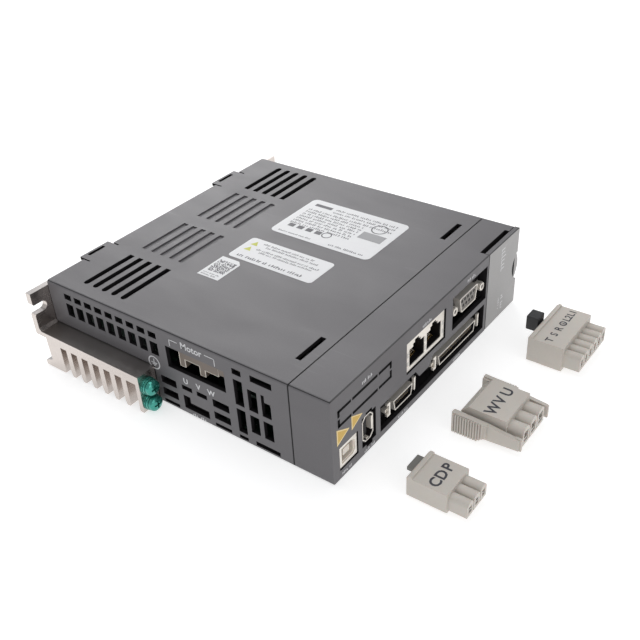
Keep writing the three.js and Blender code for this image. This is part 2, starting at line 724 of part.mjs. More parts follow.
piece("network_jack", SHELL, 0.4, 0.5, networkJack());
piece("serial_socket", STEEL, 0.3, 0.8, serialSocket());
[96.2, 121.2].forEach((x, i) => piece(`jack_screw_${i + 1}`, STEEL, 0.3, 0.9, jackScrew(x)));
piece("display_module", BLACK, 0.3, 0, displayModule());
piece("display_board", BOARD, 0.5, 0, displayBoard());
KEY_Z.forEach((z, i) => piece(`key_${i + 1}`, DOOR_GREY, 0.5, 0, keyCap(z)));
piece("control_board", BOARD, 0.5, 0, controlBoard());
piece("network_board", BOARD, 0.5, 0, networkBoard());
piece("power_board", BOARD, 0.5, 0, powerBoard());
piece("power_module", BLACK, 0.5, 0, powerModule());
[104, 121, 138].forEach((y, i) => piece(`bus_capacitor_${i + 1}`, BLACK, 0.4, 0, busCapacitor(y)));
piece("line_choke", 0x6b4a2c, 0.6, 0.1, lineChoke());
piece("transformer", 0x8a7a3c, 0.5, 0.1, transformer());
piece("inrush_relay", BLACK, 0.5, 0, relay());
piece("label_nameplate", PAPER, 0.6, 0, label(rounded([91.25, 129.6], [44.7, 102.7], 3)));
piece("label_caution", PAPER, 0.6, 0, label(rounded([61.5, 81.1], [55, 104], 2)));
piece("label_code", PAPER, 0.6, 0, codeLabel());
piece("brake_plug", PLUG, 0.6, 0, brakePlug());
piece("brake_plug_lever", 0x77756f, 0.6, 0, brakeLever());
piece("motor_plug", PLUG, 0.6, 0, motorPlug());
piece("motor_plug_latch_1", PLUG, 0.6, 0, motorLatch(-1));
piece("motor_plug_latch_2", PLUG, 0.6, 0, motorLatch(1));
piece("mains_plug", PLUG, 0.6, 0, mainsPlug());
piece("mains_plug_lever", BLACK, 0.6, 0, mainsLever());

export default drive;
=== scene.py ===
import json
import math
import random

import bmesh
import bpy
from mathutils import Matrix, Vector


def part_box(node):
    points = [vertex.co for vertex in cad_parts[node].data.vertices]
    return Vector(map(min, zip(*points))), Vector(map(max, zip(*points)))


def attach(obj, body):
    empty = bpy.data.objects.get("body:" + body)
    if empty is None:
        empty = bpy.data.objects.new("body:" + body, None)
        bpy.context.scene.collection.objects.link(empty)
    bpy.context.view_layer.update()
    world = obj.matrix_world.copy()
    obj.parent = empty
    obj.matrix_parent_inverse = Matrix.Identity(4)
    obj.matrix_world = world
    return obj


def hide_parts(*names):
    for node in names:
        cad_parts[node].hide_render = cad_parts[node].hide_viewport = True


bl_info = {
    "name": "Servo drive surfaces",
    "version": (1, 0, 0),
    "blender": (4, 5, 0),
    "location": "View3D > Sidebar > Servo drive",
    "description": "Builds the visible surfaces of a servo drive and its loose power plugs",
    "category": "Object",
}

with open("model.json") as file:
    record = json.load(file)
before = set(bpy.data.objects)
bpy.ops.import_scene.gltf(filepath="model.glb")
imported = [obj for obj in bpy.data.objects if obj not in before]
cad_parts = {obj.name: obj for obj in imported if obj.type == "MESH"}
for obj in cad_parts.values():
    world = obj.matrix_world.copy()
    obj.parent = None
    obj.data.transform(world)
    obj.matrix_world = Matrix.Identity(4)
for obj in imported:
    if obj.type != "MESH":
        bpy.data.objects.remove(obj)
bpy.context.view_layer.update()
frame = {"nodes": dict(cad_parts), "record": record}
MM = 0.001
LOW = Vector((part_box("main_housing")[0].x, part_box("front_cover")[0].y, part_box("main_housing")[0].z))
BODY_OF = {n: b for b, ns in frame["record"]["behaviour"]["bodies"].items() for n in ns}
SHARP = math.radians(32)

# in millimetres from the case's low corner
CASE_HIGH = 42.0
SEAM = 19.45  # where the front cover meets the housing
DOOR_EDGE = 125.25
BOSS = (30.9, 24.0)  # moulded boss in an end window, as (y, z)
SCOOP = (155.4, 21.0, 4.4, 7.9, 0.97)  # thumb scoop: edge, middle, depth, half length, floor
RIBBON = (4.9, 10.7)  # bottom and top of a ribbon socket's shell
PORT_HALF = 7.0  # half the pitch of the network ports
FILM = 0.07  # thickness of a label

# in metres
AIM = Vector((0.02053, 0.0, -0.00807))
FLOOR_HALF = 3.0
FLOOR_TOP = -0.0004  # just under the drive, so that the two never share a plane
LAMPS = (  # name, place, size, power in watts
    ("top_light", (0.1, 0.3, 1.2), 0.9, 3.5),
    ("back_light", (0.75, 0.75, 0.55), 0.7, 5.0),
    ("front_light", (-0.35, -1.1, 0.5), 0.8, 2.5),
)


# ---------------------------------------------------------------- settings

def tint(label, text, default):
    return bpy.props.FloatVectorProperty(
        name=label, description=text, default=default, size=3, min=0, max=1, subtype="COLOR")


def length(label, text, default):
    return bpy.props.FloatProperty(
        name=label, description=text, default=default * MM, min=0, precision=5, unit="LENGTH")


def share(label, text, default):
    return bpy.props.FloatProperty(
        name=label, description=text, default=default, min=0, max=1, subtype="FACTOR")


class CaseSettings(bpy.types.PropertyGroup):
    grey: tint("Case grey", "Colour of the moulded housing and front cover", (0.118, 0.113, 0.119))
    # painted shade: the near-black inner colour stands in for the shade inside the case and its slots
    inner: tint("Inner grey", "Colour of the case inside and in its slots", (0.012, 0.011, 0.012))
    door: tint("Door grey", "Colour of the lighter display door", (0.33, 0.322, 0.318))
    roughness: share("Roughness", "Roughness of the moulded case", 0.5)
    slot_edge: length("Slot radius", "Radius of the edges of slots and openings", 0.16)


class MetalSettings(bpy.types.PropertyGroup):
    aluminium: tint("Aluminium", "Colour of the heatsink", (0.61, 0.555, 0.52))
    plated: tint("Plated steel", "Colour of shells and studs", (0.62, 0.60, 0.57))
    shell: tint("Bright shell", "Colour of the tinned shells and frames", (0.90, 0.85, 0.78))
    green: tint("Green coating", "Colour of the ground screws", (0.05, 0.34, 0.28))


class PlugSettings(bpy.types.PropertyGroup):
    nylon: tint("Plug nylon", "Colour of the loose plugs", (0.56, 0.52, 0.47))
    # painted shade: a darkened copy of the plug nylon for the headers in the shade inside the case
    header: tint("Header nylon", "Colour of the headers inside the case", (0.17, 0.135, 0.11))
    dark: tint("Dark nylon", "Colour of the black lever", (0.016, 0.016, 0.018))
    grey: tint("Grey nylon", "Colour of the grey lever", (0.19, 0.185, 0.17))


class PrintSettings(bpy.types.PropertyGroup):
    pale: tint("Pale ink", "Ink on the case", (0.62, 0.62, 0.63))
    dark: tint("Dark ink", "Ink on labels and plugs", (0.035, 0.035, 0.045))
    yellow: tint("Yellow", "Colour of the plain triangles", (0.62, 0.40, 0.09))
    film: tint("Label film", "Colour of the label film", (0.70, 0.70, 0.71))
    lift: length("Print lift", "Height of print above its surface", 0.03)


class StageSettings(bpy.types.PropertyGroup):
    azimuth: bpy.props.FloatProperty(
        name="Azimuth", description="Camera's turn round the drive", default=math.radians(-51.631),
        unit="ROTATION")
    elevation: bpy.props.FloatProperty(
        name="Elevation", description="Camera's height above the floor", default=math.radians(34.414),
        unit="ROTATION")
    roll: bpy.props.FloatProperty(
        name="Roll", description="Camera's turn about its own axis", default=math.radians(-3.406),
        unit="ROTATION")
    distance: length("Distance", "Camera's distance from the point it looks at", 446.95)
    lens: bpy.props.FloatProperty(name="Lens", description="Focal length in mm", default=48.635)
    floor: tint("Floor", "Colour of the floor", (0.60, 0.60, 0.60))
    glow: share("Floor glow", "Light the backlit floor gives off", 0.62)


# ---------------------------------------------------------------- shader maths

class Value:
    """A shader output that adds its own nodes as it is used in an expression."""

    def __init__(self, net, socket):
        self.net = net
        self.socket = socket

    def _math(self, operation, a, b=None):
        values = {0: a} if b is None else {0: a, 1: b}
        return self.net.add("ShaderNodeMath", {"operation": operation}, values)

    def __add__(self, other):
        return self._math("ADD", self, other)

    def __sub__(self, other):
        return self._math("SUBTRACT", self, other)

    def __rsub__(self, other):
        return self._math("SUBTRACT", other, self)

    def __mul__(self, other):
        return self._math("MULTIPLY", self, other)

    def __gt__(self, other):
        return self._math("GREATER_THAN", self, other)

    def __lt__(self, other):
        return self._math("LESS_THAN", self, other)

    def __abs__(self):
        return self._math("ABSOLUTE", self)

    __radd__ = __add__
    __rmul__ = __mul__

    def least(self, other):
        return self._math("MINIMUM", self, other)

    def most(self, other):
        return self._math("MAXIMUM", self, other)

    def part(self):
        return self._math("FRACT", self)


class Finish:
    """One procedural material. Uniform numbers go straight onto the shader's own sockets."""

    def __init__(self, name, **uniform):
        self.material = bpy.data.materials.new(name)
        self.material.use_nodes = True
        self.tree = self.material.node_tree
        self.shader = self.tree.nodes["Principled BSDF"]
        for key, value in uniform.items():
            self.shader.inputs[key.replace("_", " ")].default_value = value

    def add(self, kind, settings=None, values=None, out=0):
        node = self.tree.nodes.new(kind)
        for key, value in (settings or {}).items():
            if key == "stops":
                ramp = node.color_ramp
                while len(ramp.elements) < len(value):
                    ramp.elements.new(1)
                for element, (place, level) in zip(ramp.elements, value):
                    element.position = place
                    element.color = (level, level, level, 1)
            else:
                setattr(node, key, value)
        for key, value in (values or {}).items():
            if isinstance(value, Value):
                self.tree.links.new(value.socket, node.inputs[key])
            else:
                node.inputs[key].default_value = value
        return Value(self, node.outputs[out])

    def drive(self, socket, value):
        self.tree.links.new(value.socket, self.shader.inputs[socket])

    def place(self):
        return self.add("ShaderNodeTexCoord", out=3)

    def axes(self, place):
        return [self.add("ShaderNodeSeparateXYZ", values={0: place}, out=i) for i in range(3)]

    def stretch(self, place, scale):
        return self.add("ShaderNodeVectorMath", {"operation": "MULTIPLY"}, {0: place, 1: scale})

    def noise(self, place, scale, detail=2.0, rough=0.5, distortion=0.0):
        values = {"Vector": place, "Scale": scale, "Detail": detail, "Roughness": rough,
                  "Distortion": distortion}
        return self.add("ShaderNodeTexNoise", values=values)

    def rise(self, value, start, stop):
        """0 up to start, then a straight rise to 1 at stop."""
        stops = ((0, 0), (start, 0), (stop, 1), (1, 1))
        return self.add("ShaderNodeValToRGB", {"stops": stops}, {0: value})

    def spots(self, place, scale, size):
        """Round spots, 1 in the middle and 0 at size, scattered by cells."""
        cells = self.add("ShaderNodeTexVoronoi", values={"Vector": place, "Scale": scale})
        return self.add("ShaderNodeValToRGB", {"stops": ((0, 1), (size, 0), (1, 0))}, {0: cells})

    def mix(self, factor, a, b):
        values = {0: factor, 6: a, 7: b}
        return self.add("ShaderNodeMix", {"data_type": "RGBA"}, values, out=2)

    def bump(self, height, distance, strength=1.0):
        values = {"Height": height, "Distance": distance, "Strength": strength}
        self.drive("Normal", self.add("ShaderNodeBump", values=values))


def shade(colour, level=1.0):
    return tuple(min(1.0, c * level) for c in colour) + (1.0,)


def band(value, middle, half):
    """1 where a coordinate lies no further than half from middle, both given in millimetres."""
    return abs(value - middle * MM) < half * MM


def edge_lines(f):
    """Painted dark reflection where the case's upper edges roll over and painted shade where its parts
    meet, as a 0 to 1 mask.
    """
    x, y, z = f.axes(f.place())
    left, front, top = LOW.x / MM, LOW.y / MM, LOW.z / MM + CASE_HIGH
    upper = z > (top - 0.4) * MM
    # painted dark reflection on the rolled upper edges
    roll = upper * ((x < (left + 0.65) * MM) + (y < (front + 0.55) * MM))
    # painted shade in the cover seam and along the door's edge
    seam = band(y, front + SEAM, 0.42)
    door = band(x, left + DOOR_EDGE, 0.3) * (y < (front + 2.6) * MM)
    return (roll + seam + door).least(1.0)


def moulded(name, colour, rough, grain=1500.0, depth=0.012, wear=0.10, lines=0.0, sheen=0.5):
    """Moulded plastic: spark-eroded grain, slow clouds of colour, faint rubs and scratches, and with
    lines set, painted shade in the seams and a painted dark reflection on the upper edges.
    """
    f = Finish(name, IOR=1.49, Specular_IOR_Level=sheen)
    place = f.place()
    fine = f.noise(place, grain, 3.0, 0.6)
    cloud = f.noise(place, 16.0, 3.0)
    smear = f.noise(f.stretch(place, (30.0, 9.0, 30.0)), 2.0, 4.0, 0.6, 0.6)
    scratch = f.noise(f.stretch(place, (260.0, 14.0, 260.0)), 3.0, 2.0, 0.5, 0.3)
    rub = f.rise(scratch, 0.66, 0.72) * f.rise(cloud, 0.5, 0.62)
    body = f.mix(cloud, shade(colour, 0.92), shade(colour, 1.08))
    speck = f.mix(f.rise(fine, 0.45, 0.75) * 0.35, body, shade(colour, 1.35))
    worn = f.mix(rub * wear, speck, shade(colour, 1.9))
    # painted shade in the seams and a painted dark reflection on the upper edges; worn then holds the
    # rubs and this painted shade
    if lines:
        worn = f.mix(edge_lines(f) * lines, worn, shade(colour, 0.10))
    f.drive("Base Color", worn)
    f.drive("Roughness", rough + (smear - 0.5) * 0.22 + (fine - 0.5) * 0.12 - rub * 0.08)
    f.bump(fine + cloud * 0.6 - rub * 0.4, depth * MM * 2, 0.7)
    return f.material


def extruded_metal(name, colour, rough, along=0):
    """Extruded or rolled metal: die lines along one axis, dull blotches and small dings."""
    f = Finish(name, Metallic=1.0)
    place = f.place()
    scale = [1700.0, 1700.0, 1700.0]
    scale[along] = 6.0
    lines = f.noise(f.stretch(place, tuple(scale)), 1.0, 3.0, 0.6)
    blotch = f.noise(place, 38.0, 4.0, 0.6, 0.4)
    pit = f.spots(place, 260.0, 0.10) * f.rise(blotch, 0.52, 0.60)
    base = f.mix(blotch, shade(colour, 0.86), shade(colour, 1.12))
    base = f.mix(lines * 0.25, base, shade(colour, 1.25))
    f.drive("Base Color", f.mix(pit * 0.5, base, shade(colour, 0.45)))
    f.drive("Roughness", rough + (blotch - 0.5) * 0.16 + (lines - 0.5) * 0.1)
    f.bump(lines * 0.6 - pit, 0.02 * MM, 0.6)
    return f.material


def plated_metal(name, colour, rough, coat=0.0, metal=1.0):
    """Stamped and plated metal: fine orange peel, finger smears and darker tarnish in places."""
    f = Finish(name, Metallic=metal, Coat_Weight=coat)
    place = f.place()
    peel = f.noise(place, 900.0, 2.0)
    smear = f.noise(place, 120.0, 4.0, 0.6, 0.8)
    tarnish = f.rise(f.noise(place, 300.0, 3.0), 0.55, 0.75)
    base = f.mix(smear, shade(colour, 0.88), shade(colour, 1.08))
    f.drive("Base Color", f.mix(tarnish * 0.3, base, shade(colour, 0.6)))
    f.drive("Roughness", rough + (smear - 0.5) * 0.25 + tarnish * 0.1)
    f.bump(peel + smear * 0.5, 0.008 * MM, 0.6)
    return f.material


def nylon(name, colour, rough=0.5, subsurface=0.0, sheen=0.5):
    """Glass-filled nylon: fibre flecks, flow clouds and a waxy, slightly uneven sheen."""
    f = Finish(name, IOR=1.52, Specular_IOR_Level=sheen, Subsurface_Weight=subsurface,
               Subsurface_Scale=0.002)
    place = f.place()
    fibre = f.noise(f.stretch(place, (1900.0, 500.0, 1900.0)), 1.0, 2.0)
    cloud = f.noise(place, 70.0, 4.0, 0.6, 0.5)
    fleck = f.rise(f.noise(place, 1300.0, 1.0), 0.60, 0.70)
    base = f.mix(cloud, shade(colour, 0.90), shade(colour, 1.07))
    f.drive("Base Color", f.mix(fleck * 0.12, base, shade(colour, 0.7)))
    f.drive("Roughness", rough + (cloud - 0.5) * 0.25 + (fibre - 0.5) * 0.1)
    f.bump(fibre * 0.6 + cloud, 0.012 * MM, 0.6)
    return f.material


def circuit(name):
    """Green solder mask over copper tracks, with tinned pads on a grid; the green is darkened almost to
    black as painted shade for the boards inside the case.
    """
    f = Finish(name, IOR=1.5, Coat_Weight=0.3, Coat_Roughness=0.25)
    place = f.place()
    x, y, z = f.axes(place)
    lanes = ((x * 420.0).part() > 0.55) * (f.noise(f.stretch(place, (60.0, 160.0, 60.0)), 1.0) > 0.5)
    rungs = ((y * 380.0).part() > 0.6) * (f.noise(f.stretch(place, (150.0, 50.0, 60.0)), 1.0) > 0.55)
    tracks = lanes.most(rungs)
    pads = f.spots(place, 300.0, 0.16) * (f.noise(place, 90.0) > 0.52)
    # painted shade: the mask greens are darkened almost to black for the unlit boards inside the case
    base = f.mix(tracks, (0.002, 0.014, 0.007, 1), (0.004, 0.026, 0.012, 1))
    f.drive("Base Color", f.mix(pads, base, (0.52, 0.52, 0.50, 1)))
    f.drive("Roughness", 0.42 - pads * 0.15 + f.noise(place, 200.0) * 0.1)
    f.drive("Metallic", pads * 0.9)
    f.bump(tracks + pads * 1.5, 0.03 * MM, 0.6)
    return f.material


def film(name, colour, rough=0.42):
    """Printed label film: fine tooth, slight yellowing, small air blisters and lifted spots."""
    f = Finish(name, IOR=1.5)
    place = f.place()
    tooth = f.noise(place, 2200.0, 2.0)
    age = f.noise(place, 40.0, 3.0)
    blister = f.spots(place, 90.0, 0.12) * (age > 0.6)
    f.drive("Base Color", f.mix(age, shade(colour, 0.95), shade(colour, 1.03)))
    f.drive("Roughness", rough + (age - 0.5) * 0.15 + (tooth - 0.5) * 0.1)
    f.bump(tooth * 0.2 + blister, 0.02 * MM, 0.5)
    return f.material


def ink(name, colour, rough=0.5, sheen=0.5):
    """Pad-printed ink: uneven coverage with worn flecks and a slightly raised skin."""
    f = Finish(name, IOR=1.48, Specular_IOR_Level=sheen)
    place = f.place()
    cover = f.noise(place, 1600.0, 3.0, 0.6)
    patch = f.noise(place, 150.0, 2.0)
    base = f.mix(f.rise(cover, 0.55, 0.8) * 0.5, shade(colour), shade(colour, 0.75))
    f.drive("Base Color", f.mix(patch * 0.3, base, shade(colour, 1.15)))
    f.drive("Roughness", rough + (patch - 0.5) * 0.2)
    f.bump(cover, 0.006 * MM, 0.5)
    return f.material


def winding(name):
    """Enamelled copper wire laid side by side, with darker gaps and a varnish gloss."""
    f = Finish(name, Metallic=0.6, Coat_Weight=0.5, Coat_Roughness=0.15)
    place = f.place()
    run = f.noise(place, 500.0, 2.0)
    age = f.noise(place, 90.0, 3.0)
    f.drive("Base Color", f.mix(age, (0.34, 0.13, 0.045, 1), (0.50, 0.22, 0.08, 1)))
    f.drive("Roughness", 0.3 + (run - 0.5) * 0.2)
    f.bump(run, 0.02 * MM, 0.5)
    return f.material


MATERIALS = {}


def make_materials(scene):
    case, metal, plug, prints = scene.drive_case, scene.drive_metal, scene.drive_plug, scene.drive_print
    MATERIALS.update(
        # lines sets the strength of the painted seam shade and edge reflection
        case=moulded("moulded_case", case.grey, case.roughness, lines=0.9),
        # painted shade for the case's unlit inside and slot walls
        inner=moulded("inner_painted_shade", case.inner, 0.7, sheen=0.15),
        door=moulded("moulded_door", case.door, 0.46, lines=0.75),
        key=moulded("moulded_key", case.door, 0.5, 2200.0, 0.006),
        aluminium=extruded_metal("extruded_aluminium", metal.aluminium, 0.26),
        # painted shade: a darker copy of the heatsink aluminium for its up-facing faces
        shelf=extruded_metal("shelf_painted_shade", (0.34, 0.32, 0.31), 0.34),
        plated=plated_metal("plated_steel", metal.plated, 0.28, 0.0, 0.8),
        shell=plated_metal("tinned_shell", metal.shell, 0.34, 0.0, 0.5),
        gold=plated_metal("gold_contact", (0.70, 0.45, 0.16), 0.25),
        green=plated_metal("green_coated_steel", metal.green, 0.22, 0.4, 0.75),
        nylon=nylon("plug_nylon", plug.nylon, 0.5, 0.08),
        # painted shade for the headers inside the case
        header=nylon("header_painted_shade", plug.header, 0.45, 0.05),
        lever_dark=nylon("dark_nylon", plug.dark, 0.5),
        lever_grey=nylon("grey_nylon", plug.grey, 0.5),
        insert=nylon("black_insert", (0.008, 0.007, 0.008), 0.5, sheen=0.25),
        socket_face=nylon("grey_insert", (0.20, 0.185, 0.17), 0.5),
        white=nylon("white_insert", (0.74, 0.68, 0.60), 0.4, 0.05),
        board=circuit("solder_mask_painted_shade"),
        sleeve=nylon("black_sleeve", (0.012, 0.012, 0.016), 0.3),
        tape=film("yellow_tape", (0.55, 0.42, 0.10), 0.35),
        core=extruded_metal("core_laminations", (0.16, 0.15, 0.145), 0.55, 2),
        wire=winding("copper_winding"),
        film=film("label_film", prints.film),
        film_grey=film("label_grey", (0.24, 0.24, 0.25)),
        pale=ink("pale_ink", prints.pale),
        dark=ink("dark_ink", prints.dark),
        mid=ink("mid_ink", (0.085, 0.085, 0.095)),
        # painted shade for the knockout grooves: a flat black with almost no gloss
        black=ink("groove_painted_shade", (0.004, 0.004, 0.004), 0.8, 0.1),
        amber=ink("amber_ink", (0.80, 0.62, 0.30)),
        yellow=ink("yellow_ink", prints.yellow),
        lime=ink("lime_ink", (0.50, 0.52, 0.06)),
        digit=ink("unlit_segment", (0.16, 0.035, 0.03), 0.35),
        window=nylon("smoked_window", (0.020, 0.008, 0.008), 0.12),
    )


# ---------------------------------------------------------------- mesh making

def at(x, y, z):
    """A point given in millimetres from the case's low corner, where the frame puts it."""
    return LOW + Vector((x, y, z)) * MM


def limits(node):
    """The low and high corners of a node's box, in millimetres from the case's low corner."""
    return [(p - LOW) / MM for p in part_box(node)]


def turned(axis, u, v, w):
    """The place of outline point (u, v) at w along an axis."""
    return at(*{"x": (w, u, v), "y": (u, w, v), "z": (u, v, w)}[axis])


class Solid:
    """Mesh code for one piece, in millimetres from the case's low corner."""

    def __init__(self):
        self.bm = bmesh.new()

    def _soften(self, verts, radius, segments=2):
        if radius <= 0:
            return
        edges = {e for v in verts for e in v.link_edges if len(e.link_faces) == 2
                 and e.calc_face_angle(0) > SHARP}
        bmesh.ops.bevel(self.bm, geom=list(edges), offset=radius * MM, segments=segments,
                        profile=0.6, affect="EDGES", clamp_overlap=True)

    def _loop(self, axis, outline, w):
        return [self.bm.verts.new(turned(axis, u, v, w)) for u, v in outline]

    def prism(self, axis, outline, span, radius=0.15, segments=2):
        low, high = [self._loop(axis, outline, w) for w in span]
        n = len(outline)
        faces = [self.bm.faces.new(low[::-1]), self.bm.faces.new(high)]
        for i in range(n):
            j = (i + 1) % n
            faces.append(self.bm.faces.new((low[i], low[j], high[j], high[i])))
        bmesh.ops.recalc_face_normals(self.bm, faces=faces)
        self._soften(low + high, radius, segments)
        return self

    def slab(self, x, y, z, radius=0.15, segments=2):
        return self.prism("z", bar_shape(*x, *y), z, radius, segments)

    def ring(self, axis, outer, inner, span, radius=0.1):
        """A hollow wall between two outlines with the same number of points."""
        loops = [self._loop(axis, outline, w) for w in span for outline in (outer, inner)]
        n = len(outer)
        faces = []
        for a, b in ((0, 1), (1, 3), (3, 2), (2, 0)):
            for i in range(n):
                j = (i + 1) % n
                corners = (loops[a][i], loops[a][j], loops[b][j], loops[b][i])
                faces.append(self.bm.faces.new(corners))
        bmesh.ops.recalc_face_normals(self.bm, faces=faces)
        self._soften([v for loop in loops for v in loop], radius, 1)
        return self

    def lathe(self, axis, centre, profile, steps=32):
        """A turned shape from (distance along the axis, radius) pairs that start and end on it."""
        loops = [self._loop(axis, circle(*centre, r, steps) if r > 0 else [centre], w)
                 for w, r in profile]
        faces = []
        for a, b in zip(loops, loops[1:]):
            for i in range(steps):
                j = (i + 1) % steps
                corners = [a[i % len(a)], a[j % len(a)], b[j % len(b)], b[i % len(b)]]
                unique = list(dict.fromkeys(corners))
                if len(unique) > 2:
                    faces.append(self.bm.faces.new(unique))
        bmesh.ops.recalc_face_normals(self.bm, faces=faces)
        return self

    def patch(self, points):
        """One flat printed face from points in millimetres."""
        self.bm.faces.new([self.bm.verts.new(at(*p)) for p in points])
        return self

    def mesh(self, name):
        mesh = bpy.data.meshes.new(name)
        self.bm.to_mesh(mesh)
        self.bm.free()
        return mesh

    def build(self, name, material, body, *replaced):
        return show(name, self.mesh(name), material, body, *replaced)


def show(name, mesh, material, body, *replaced):
    """Puts a mesh in the scene with its finish, riding on its body."""
    mesh.shade_smooth()
    mesh.set_sharp_from_angle(angle=SHARP)
    mesh.materials.clear()
    mesh.materials.append(MATERIALS[material])
    piece = bpy.data.objects.new(name, mesh)
    bpy.context.scene.collection.objects.link(piece)
    weighted = piece.modifiers.new("even_normals", "WEIGHTED_NORMAL")
    weighted.keep_sharp = True
    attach(piece, body)
    if replaced:
        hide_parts(*replaced)
    return piece


def softened(node, material, fine=0.14, lining=None):
    """The node's own shape with its flat faces joined up, its edges rounded and its inside lined with a
    second finish, which the case uses as painted shade.
    """
    bm = bmesh.new()
    bm.from_mesh(frame["nodes"][node].data)
    bmesh.ops.remove_doubles(bm, verts=bm.verts, dist=2e-6)
    bmesh.ops.dissolve_limit(bm, angle_limit=0.01, verts=bm.verts, edges=bm.edges)
    edges = [e for e in bm.edges if len(e.link_faces) == 2 and e.calc_face_angle(0) > SHARP]
    bmesh.ops.bevel(bm, geom=edges, offset=fine * MM, segments=2, profile=0.6, affect="EDGES",
                    clamp_overlap=True)
    mesh = bpy.data.meshes.new(node + "_surface")
    bm.to_mesh(mesh)
    bm.free()
    piece = show(node + "_surface", mesh, material, BODY_OF[node], node)
    # painted shade: faces below the outer skin take the dark lining finish
    if lining:
        low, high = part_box(node)
        refinish(piece, lining, lambda face: is_inside(face, low, high))
    return piece


def refinish(piece, material, chosen):
    """Gives a second finish to the faces that a test chooses."""
    piece.data.materials.append(MATERIALS[material])
    for face in piece.data.polygons:
        face.material_index = int(chosen(face))


def faces_up(face):
    return face.normal.z > 0.9


def is_inside(face, low, high, depth=0.45 * MM, recess=1.2 * MM):
    """True for faces below the outer skin, other than the floors of shallow recesses on top."""
    below = min(min(face.center[i] - low[i], high[i] - face.center[i]) for i in range(3))
    return below > depth and not (faces_up(face) and high.z - face.center.z < recess)


def loose(solid, name):
    """An object that belongs to no body and is removed once used."""
    piece = bpy.data.objects.new(name, solid.mesh(name))
    bpy.context.scene.collection.objects.link(piece)
    return piece


def cut(solid, knives):
    """The solid's mesh with other solids taken out of it."""
    body = loose(solid, "blank")
    tools = [loose(knife, "knife") for knife in knives]
    for tool in tools:
        modifier = body.modifiers.new("cut", "BOOLEAN")
        modifier.operation = "DIFFERENCE"
        modifier.solver = "EXACT"
        modifier.object = tool
    bpy.context.view_layer.update()
    mesh = bpy.data.meshes.new_from_object(body.evaluated_get(bpy.context.evaluated_depsgraph_get()))
    for piece in (body, *tools):
        bpy.data.objects.remove(piece)
    return mesh


def circle(u, v, r, steps=24, start=0.0):
    turns = [start + 2 * math.pi * i / steps for i in range(steps)]
    return [(u + r * math.cos(a), v + r * math.sin(a)) for a in turns]


def hoop(u, v, r, wide, steps):
    """Flat four-sided shapes that make up a ring."""
    outer, inner = circle(u, v, r, steps), circle(u, v, r - wide, steps)
    return [[outer[i - 1], outer[i], inner[i], inner[i - 1]] for i in range(steps)]


def bar_shape(u0, u1, v0, v1):
    return [(u0, v0), (u1, v0), (u1, v1), (u0, v1)]


def rounded(u, v, r, steps=5):
    """A rectangle with round corners as a list of points."""
    corners = ((u[1] - r, v[0] + r, -90), (u[1] - r, v[1] - r, 0), (u[0] + r, v[1] - r, 90),
               (u[0] + r, v[0] + r, 180))
    points = []
    for cu, cv, start in corners:
        for i in range(steps + 1):
            a = math.radians(start + 90 * i / steps)
            points.append((cu + r * math.cos(a), cv + r * math.sin(a)))
    return points


# ---------------------------------------------------------------- print

class Sheet:
    """A flat surface to print on: an origin in millimetres and its reading and upward directions."""

    def __init__(self, origin, right, up):
        self.origin = Vector(origin)
        self.right = Vector(right)
        self.up = Vector(up)
        self.out = self.right.cross(self.up)

    def point(self, u, v, lift=0.0):
        return self.origin + self.right * u + self.up * v + self.out * lift


def print_lift(layers=1):
    return bpy.context.scene.drive_print.lift / MM * layers


def blocks(name, sheet, shapes, material, body="drive", layers=1):
    """Prints flat shapes, each a list of (u, v) points, as one piece."""
    solid = Solid()
    lift = print_lift(layers)
    for shape in shapes:
        solid.patch([sheet.point(u, v, lift) for u, v in shape])
    return solid.build(name, material, body)


def greek_line(rng, u0, u1, v, height):
    """Stand-in marks for one line of small print: words made of short upright strokes."""
    shapes = []
    u = u0
    while u < u1 - height * 0.5:
        letters = rng.randint(2, 8)
        for _ in range(letters):
            wide = height * rng.uniform(0.35, 0.6)
            if u + wide > u1:
                break
            top = v + height * rng.choice((0.72, 0.72, 1.0))
            stroke = height * 0.27
            shapes.append(bar_shape(u, u + stroke, v, top))
            if rng.random() < 0.7:
                level = v + height * rng.choice((0.0, 0.3, 0.55))
                shapes.append(bar_shape(u + stroke, u + wide, level, level + stroke))
            u += wide + height * 0.2
        u += height * 0.55
    return shapes


def lettering(name, text, sheet, size, material, body, bold):
    """Generic terminal letters, centred on the sheet's origin."""
    curve = bpy.data.curves.new(name, "FONT")
    curve.body = text
    curve.size = size * MM
    curve.align_x = "CENTER"
    curve.align_y = "CENTER"
    curve.offset = bold * MM
    curve.resolution_u = 3
    raw = bpy.data.objects.new(name + "_type", curve)
    bpy.context.scene.collection.objects.link(raw)
    bpy.context.view_layer.update()
    mesh = bpy.data.meshes.new_from_object(raw.evaluated_get(bpy.context.evaluated_depsgraph_get()))
    bpy.data.objects.remove(raw)
    start = at(*sheet.point(0, 0, print_lift()))
    turn = Matrix((sheet.right, sheet.up, sheet.out)).transposed().to_4x4()
    mesh.transform(Matrix.Translation(start) @ turn)
    mesh.name = name
    return show(name, mesh, material, body)


# ---------------------------------------------------------------- operators

class DRIVE_OT_housing(bpy.types.Operator):
    """Moulded housing with its vents, tabs and recesses, and the front cover"""
    bl_idname = "drive.housing"
    bl_label = "Housing and cover"

    def execute(self, context):
        case = context.scene.drive_case
        for node in ("main_housing", "front_cover"):
            # the inner finish paints shade inside the case and its slots
            softened(node, "case", case.slot_edge / MM, "inner")
        profile = [(2.4, 0), (2.4, 0.45), (2.5, 0.8), (6.0, 0.9), (6.0, 0)]
        Solid().lathe("x", BOSS, profile, 24).build("housing_boss", "door", "drive")
        return {"FINISHED"}


